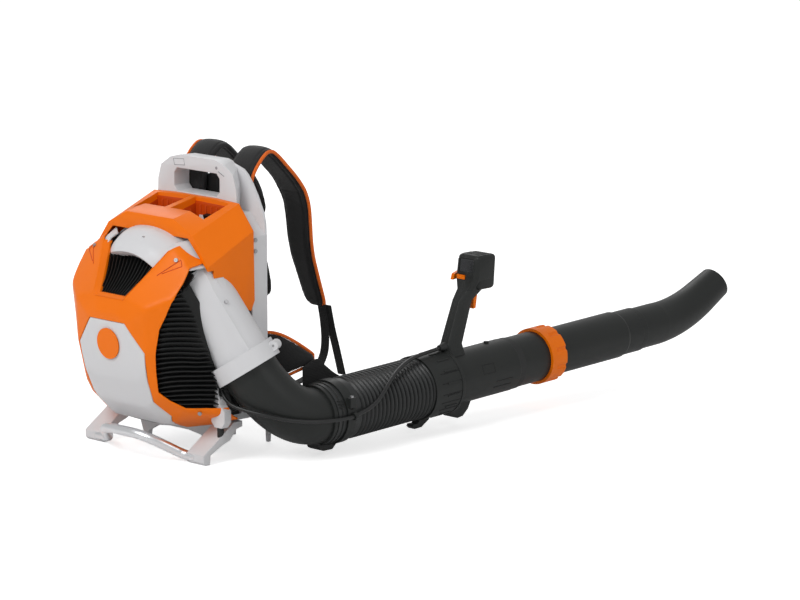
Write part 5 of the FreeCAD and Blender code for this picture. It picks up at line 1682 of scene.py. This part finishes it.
@dataclass
class ControlCable:
    """Control cable along the elbow and the hose."""

    radius: float = 3.5
    lower: tuple = ((153.5, -165, 127), (167, -169, 114.5), (187, -169, 106), (213, -160, 100),
                    (240, -146, 95), (263, -123, 87), (280, -94, 81), (290, -64, 77), (296, -32, 75),
                    (298, -4, 74), (298, 20, 74.5))
    upper: tuple = ((298, 28, 76), (298, 44, 79.5), (298, 62, 84), (296, 82, 92), (291, 103, 105),
                    (282, 127, 119), (272, 154, 132), (262, 186, 142), (253, 220, 147), (249.5, 248, 149),
                    (248, 272, 150.5), (246, 292, 152))

    @staticmethod
    def line(points: Sequence[Point]) -> list[Vector]:
        """Points read from the smooth spline over a route.

        Args:
            points: The route's points in millimetres.

        Returns:
            Points of the spline in millimetres.
        """
        curve = bpy.data.curves.new("route", "CURVE")
        curve.dimensions = "3D"
        path = curve.splines.new("NURBS")
        path.points.add(len(points) - 1)
        for target, point in zip(path.points, points):
            target.co = (*point, 1)
        path.order_u = 3
        path.use_endpoint_u = True
        path.resolution_u = 8
        obj = bpy.data.objects.new("route", curve)
        bpy.context.scene.collection.objects.link(obj)
        mesh = bpy.data.meshes.new_from_object(obj)
        chain = [vertex.co.copy() for vertex in mesh.vertices]
        bpy.data.objects.remove(obj)
        bpy.data.meshes.remove(mesh)
        return chain

    def build(self) -> None:
        """Builds the cable's three lengths."""
        lower = self.line(self.lower)
        upper = self.line(self.upper)
        turn = next(i for i, p in enumerate(upper) if p.y > TUBE.bend_split)
        first, split, last = (TUBE.at(y) for y in (TUBE.bend_from, TUBE.bend_split, TUBE.bend_to))
        lengths = (
            ("cable_lower", lower, ("machine", "elbow_body"), (lower[0], lower[len(lower) // 2]),
             "control_cable_lower"),
            ("cable_hose_rear", upper[:turn + 1], ("elbow_body", "hose"), (first, split),
             "control_cable_upper"),
            ("cable_hose_front", upper[turn:], ("hose", "handle_body"), (split, last),
             "control_cable_upper"))
        for name, points, bodies, ends, node in lengths:
            cable = Bench.tube(name, points, self.radius, 14)
            Bench.smooth(cable, 60)
            deliver_between(cable, bodies, Finish.CABLE, node)


@dataclass
class BatteryBays:
    """Ribbed inner walls of the two battery bays, in a darker orange that is painted shade inside the bays.
    """

    inner: float = 7.6
    outer: float = 93.4
    rear: float = -149.4
    front: float = -88.7
    low: float = 330.0
    front_tops: tuple = (444, 442)
    outer_tops: tuple = (414, 436)
    inner_tops: tuple = (424, 440)
    skin: float = 1.0
    ridge_pitch: float = 13.0
    ridge_half: float = 1.6
    ridge_out: float = 3.2
    ridge_under: float = 6.0
    ledge_y: float = -92.6
    ledge: tuple = ((20, 380), (88, 380), (88, 398), (64, 398), (64, 412), (40, 412), (40, 420), (20, 420))

    def wall(self, a: Point, b: Point, top_a: float, top_b: float, inward: Vector) -> list[bpy.types.Object]:
        """Builds a wall with upright ridges.

        Args:
            a: Start in X and Y.
            b: End in X and Y.
            top_a: Height at the start.
            top_b: Height at the end.
            inward: Direction into the bay.

        Returns:
            The wall and its ridges.
        """
        start, end = Vector((*a, 0)), Vector((*b, 0))
        up = Vector((0, 0, 1))
        parts = [Bench.plate("wall", [start + up * self.low, end + up * self.low, end + up * top_b,
                                      start + up * top_a], inward * self.skin)]
        count = int((end - start).length / self.ridge_pitch)
        for k in range(1, count):
            share = k / count
            foot = start.lerp(end, share)
            along = (end - start).normalized() * self.ridge_half
            top = top_a + (top_b - top_a) * share - self.ridge_under
            corners = [foot - along + up * self.low, foot + along + up * self.low,
                       foot + along + up * top, foot - along + up * top]
            parts.append(Bench.plate("ridge", corners, inward * self.ridge_out))
        return parts

    def build(self) -> None:
        """Builds the walls of both bays and the grey ledge in the right one."""
        for sign, side in SIDES:
            near, far = sign * self.inner, sign * self.outer
            parts = self.wall((near, self.front), (far, self.front), *self.front_tops, Vector((0, -1, 0)))
            parts += self.wall((far, self.rear), (far, self.front), *self.outer_tops, Vector((-sign, 0, 0)))
            parts += self.wall((near, self.rear), (near, self.front), *self.inner_tops, Vector((sign, 0, 0)))
            walls = Bench.join(f"bay_walls_{side}", parts)
            Bench.round_edges(walls, 0.5, 2, 40)
            # Darker orange walls: painted shade inside the bays.
            deliver(walls, "machine", Finish.DEEP_ORANGE)
        plate = Bench.plate("bay_ledge", [(x, self.ledge_y, z) for x, z in self.ledge], (0, 2.0, 0))
        Bench.round_edges(plate, 0.6, 2, 40)
        deliver(plate, "machine", Finish.LIGHT)


@dataclass
class SoftShells:
    """Rigid mouldings whose edges are rounded: copies of CAD nodes."""

    table: tuple = (
        ("back_plate", "machine", "light_grey", Finish.LIGHT, 3.0, 25),
        ("base_frame", "machine", "light_grey", Finish.LIGHT, 3.0, 25),
        ("battery_housing", "machine", "orange", Finish.ORANGE, 1.6, 18),
        ("handle_shell_left", "handle_body", "charcoal", Finish.CHARCOAL, 3.0, 25),
        ("handle_shell_right", "handle_body", "charcoal", Finish.CHARCOAL, 3.0, 25),
    )

    def build(self) -> None:
        """Builds the soft mouldings."""
        for node, body, slot, finish, width, degrees in self.table:
            piece = Bench.cad_copy(node, f"{node}_moulding")
            Bench.round_edges(piece, width, 3, degrees)
            deliver(piece, body, finish, [node])


@dataclass
class HandleMarks:
    """Small recesses on the rear face of the carrying handle."""

    recess: tuple = ((-62, 512), (-34, 514), (-31, 502), (-59, 500))
    dot: tuple = (52, 506)
    line: tuple = ((57, 500), (72, 493))
    face: float = -79.6
    rim: float = 1.6
    depth: float = 1.0

    def build(self) -> None:
        """Builds the recess, the round mark and the line."""
        outline = [(x, self.face, z) for x, z in self.recess]
        pocket = Bench.plate("handle_recess", outline, (0, 1.2, 0))
        Bench.edit(pocket, all_selected=False)
        bpy.ops.object.mode_set(mode="OBJECT")
        for face in pocket.data.polygons:
            face.select = face.normal.y < -0.9
        bpy.ops.object.mode_set(mode="EDIT")
        bpy.ops.mesh.select_mode(type="FACE")
        bpy.ops.mesh.inset(thickness=self.rim * MM)
        bpy.ops.transform.translate(value=(0, self.depth * MM, 0))
        Bench.rest()
        Bench.round_edges(pocket, 0.3, 2, 40)
        deliver(pocket, "machine", Finish.SHADE)
        x, z = self.dot
        marks = [Bench.tube("dot", [(x, self.face, z), (x, self.face + 1, z)], 2.8, 16),
                 Bench.tube("line", [(x, self.face + 0.4, z) for x, z in self.line], 0.8, 8)]
        mark = Bench.join("handle_marks", marks)
        Bench.smooth(mark, 40)
        deliver(mark, "machine", Finish.SHADE)


@dataclass
class ElbowMarks:
    """Bead round the elbow's end and three short ridges above the clamp's screw."""

    bead_y: float = 2.0
    bead_radius: float = 56.2
    bead_steps: int = 36
    ridges: tuple = (32.0, 26.0, 20.0)
    ridge_radius: float = 57.2
    ridge_ends: tuple = (-4.0, 8.0)

    def build(self) -> None:
        """Builds the marks."""
        ring = [TUBE.on(self.bead_y, self.bead_radius, 360.0 / self.bead_steps * k)
                for k in range(self.bead_steps + 1)]
        parts = [Bench.tube("bead", ring, 1.5, 10, caps=False, up=(0, 1, 0))]
        for degrees in self.ridges:
            ends = [TUBE.on(y, self.ridge_radius, degrees) for y in self.ridge_ends]
            parts.append(Bench.tube("ridge", ends, 1.3, 8))
        marks = Bench.join("elbow_beads", parts)
        Bench.tidy(marks)
        Bench.smooth(marks, 60)
        deliver(marks, "elbow_body", Finish.CHARCOAL)


@dataclass
class HandleHead:
    """Rounded cap over the front of the control handle's head."""

    middle: tuple = (235.0, 405.0, 281.0)
    size: tuple = (55.0, 50.0, 64.0)
    lean: float = 5.0

    def build(self) -> None:
        """Builds the cap, whose lower front edge stands back."""
        Bench.rest()
        bpy.ops.mesh.primitive_cube_add(size=1.0)
        cap = bpy.context.object
        cap.name = "handle_head_cap"
        cap.scale = Vector(self.size) * MM
        cap.location = Vector(self.middle) * MM
        Bench.place(cap)
        for vertex in cap.data.vertices:
            if vertex.co.z < self.middle[2] * MM and vertex.co.y > self.middle[1] * MM:
                vertex.co.y -= self.lean * MM
        Bench.round_edges(cap, 8.0, 5, 30)
        deliver(cap, "handle_body", Finish.CHARCOAL)


@dataclass
class TubeMarks:
    """Moulded lines and grooves on the round parts of the blow pipe."""

    grooves: tuple = ((345, 408, 452, 49.7), (331, 404, 450, 49.7), (352, 256, 304, 59.7),
                      (336, 256, 304, 59.7), (320, 256, 304, 59.7), (12, 256, 304, 59.7),
                      (30, 256, 304, 59.7))
    panel: tuple = ((28, 374), (28, 404), (8, 404), (8, 374), (28, 374))
    panel_radius: float = 49.3
    panel_steps: int = 6

    def build(self) -> None:
        """Builds the marks."""
        lines = []
        for degrees, y0, y1, radius in self.grooves:
            lines.append(Bench.tube("groove", [TUBE.on(y, radius - 0.5, degrees) for y in (y0, y1)], 1.1, 8))
        for (a, y0), (b, y1) in zip(self.panel, self.panel[1:]):
            steps = self.panel_steps
            points = [TUBE.on(y0 + (y1 - y0) * i / steps, self.panel_radius, a + (b - a) * i / steps)
                      for i in range(steps + 1)]
            lines.append(Bench.tube("seam", points, 0.6, 8, up=(1, 0, 0)))
        marks = Bench.join("pipe_lines", lines)
        Bench.smooth(marks, 60)
        deliver(marks, "handle_body", Finish.BLACK)


@dataclass
class CadFinishes:
    """Finishes of the CAD nodes that stay as they are."""

    table: dict = field(default_factory=lambda: {
        Finish.LIGHT: ("back_plate", "base_frame", "fan_casing_rear", "fan_casing_front", "duct_collar",
                       "duct_bracket"),
        Finish.ORANGE: ("battery_housing", "badge_disc", "union_ring", "thumb_lever", "trigger",
                        "start_button"),
        # The bays' liners take the darker orange: painted shade inside the battery bays.
        Finish.DEEP_ORANGE: ("bay_liners",),
        Finish.CHARCOAL: ("elbow", "handle_tube", "hose_cuff", "blow_tube", "nozzle", "hose_clamp",
                          "cable_gland", "cable_clip", "handle_shell_left", "handle_shell_right",
                          "controller_box"),
        Finish.BLACK: ("battery_contacts", "battery_latch_left", "battery_latch_right", "motor_mount",
                       "impeller", "battery_leads"),
        Finish.RUBBER: ("elbow_foot", "duct_seal", "vibration_buffers", "end_band", "strain_relief"),
        Finish.BAR: ("stand_bar",),
        Finish.STEEL: ("body_screws", "collar_screws", "clamp_screw", "shaft_nut", "rotor_shaft",
                       "rotor_core", "motor_bearings", "motor_housing"),
        Finish.COPPER: ("motor_stator",),
        Finish.LENS: ("display_window",),
    })

    def build(self) -> None:
        """Dresses the nodes."""
        for finish, nodes in self.table.items():
            for name in nodes:
                FinishShelf.dress(frame["nodes"][name], finish)
        LOG.info("dressed the CAD nodes")


def main() -> None:
    """Builds the studio and every sub-assembly, in order."""
    logging.basicConfig(level=logging.INFO, format="%(message)s", force=True)
    Studio().build()
    ControlCable().build()
    CadFinishes().build()
    dome = DomeForm()
    RearCover(dome).build()
    IntakeGrille(dome).build()
    LowerRim(dome).build()
    ScrollCasing().build()
    SoftShells().build()
    BatteryBays().build()
    HandleMarks().build()
    HandleHead().build()
    ElbowMarks().build()
    TubeMarks().build()
    for sign, side in SIDES:
        ShoulderStrap(sign, side).build()
        HipBelt(sign, side).build()
    Webbing().build()
    BackPad().build()
    RibbedHose().build()
    for piece in bpy.context.scene.objects:
        piece.select_set(False)


if __name__ == "__main__":
    main()
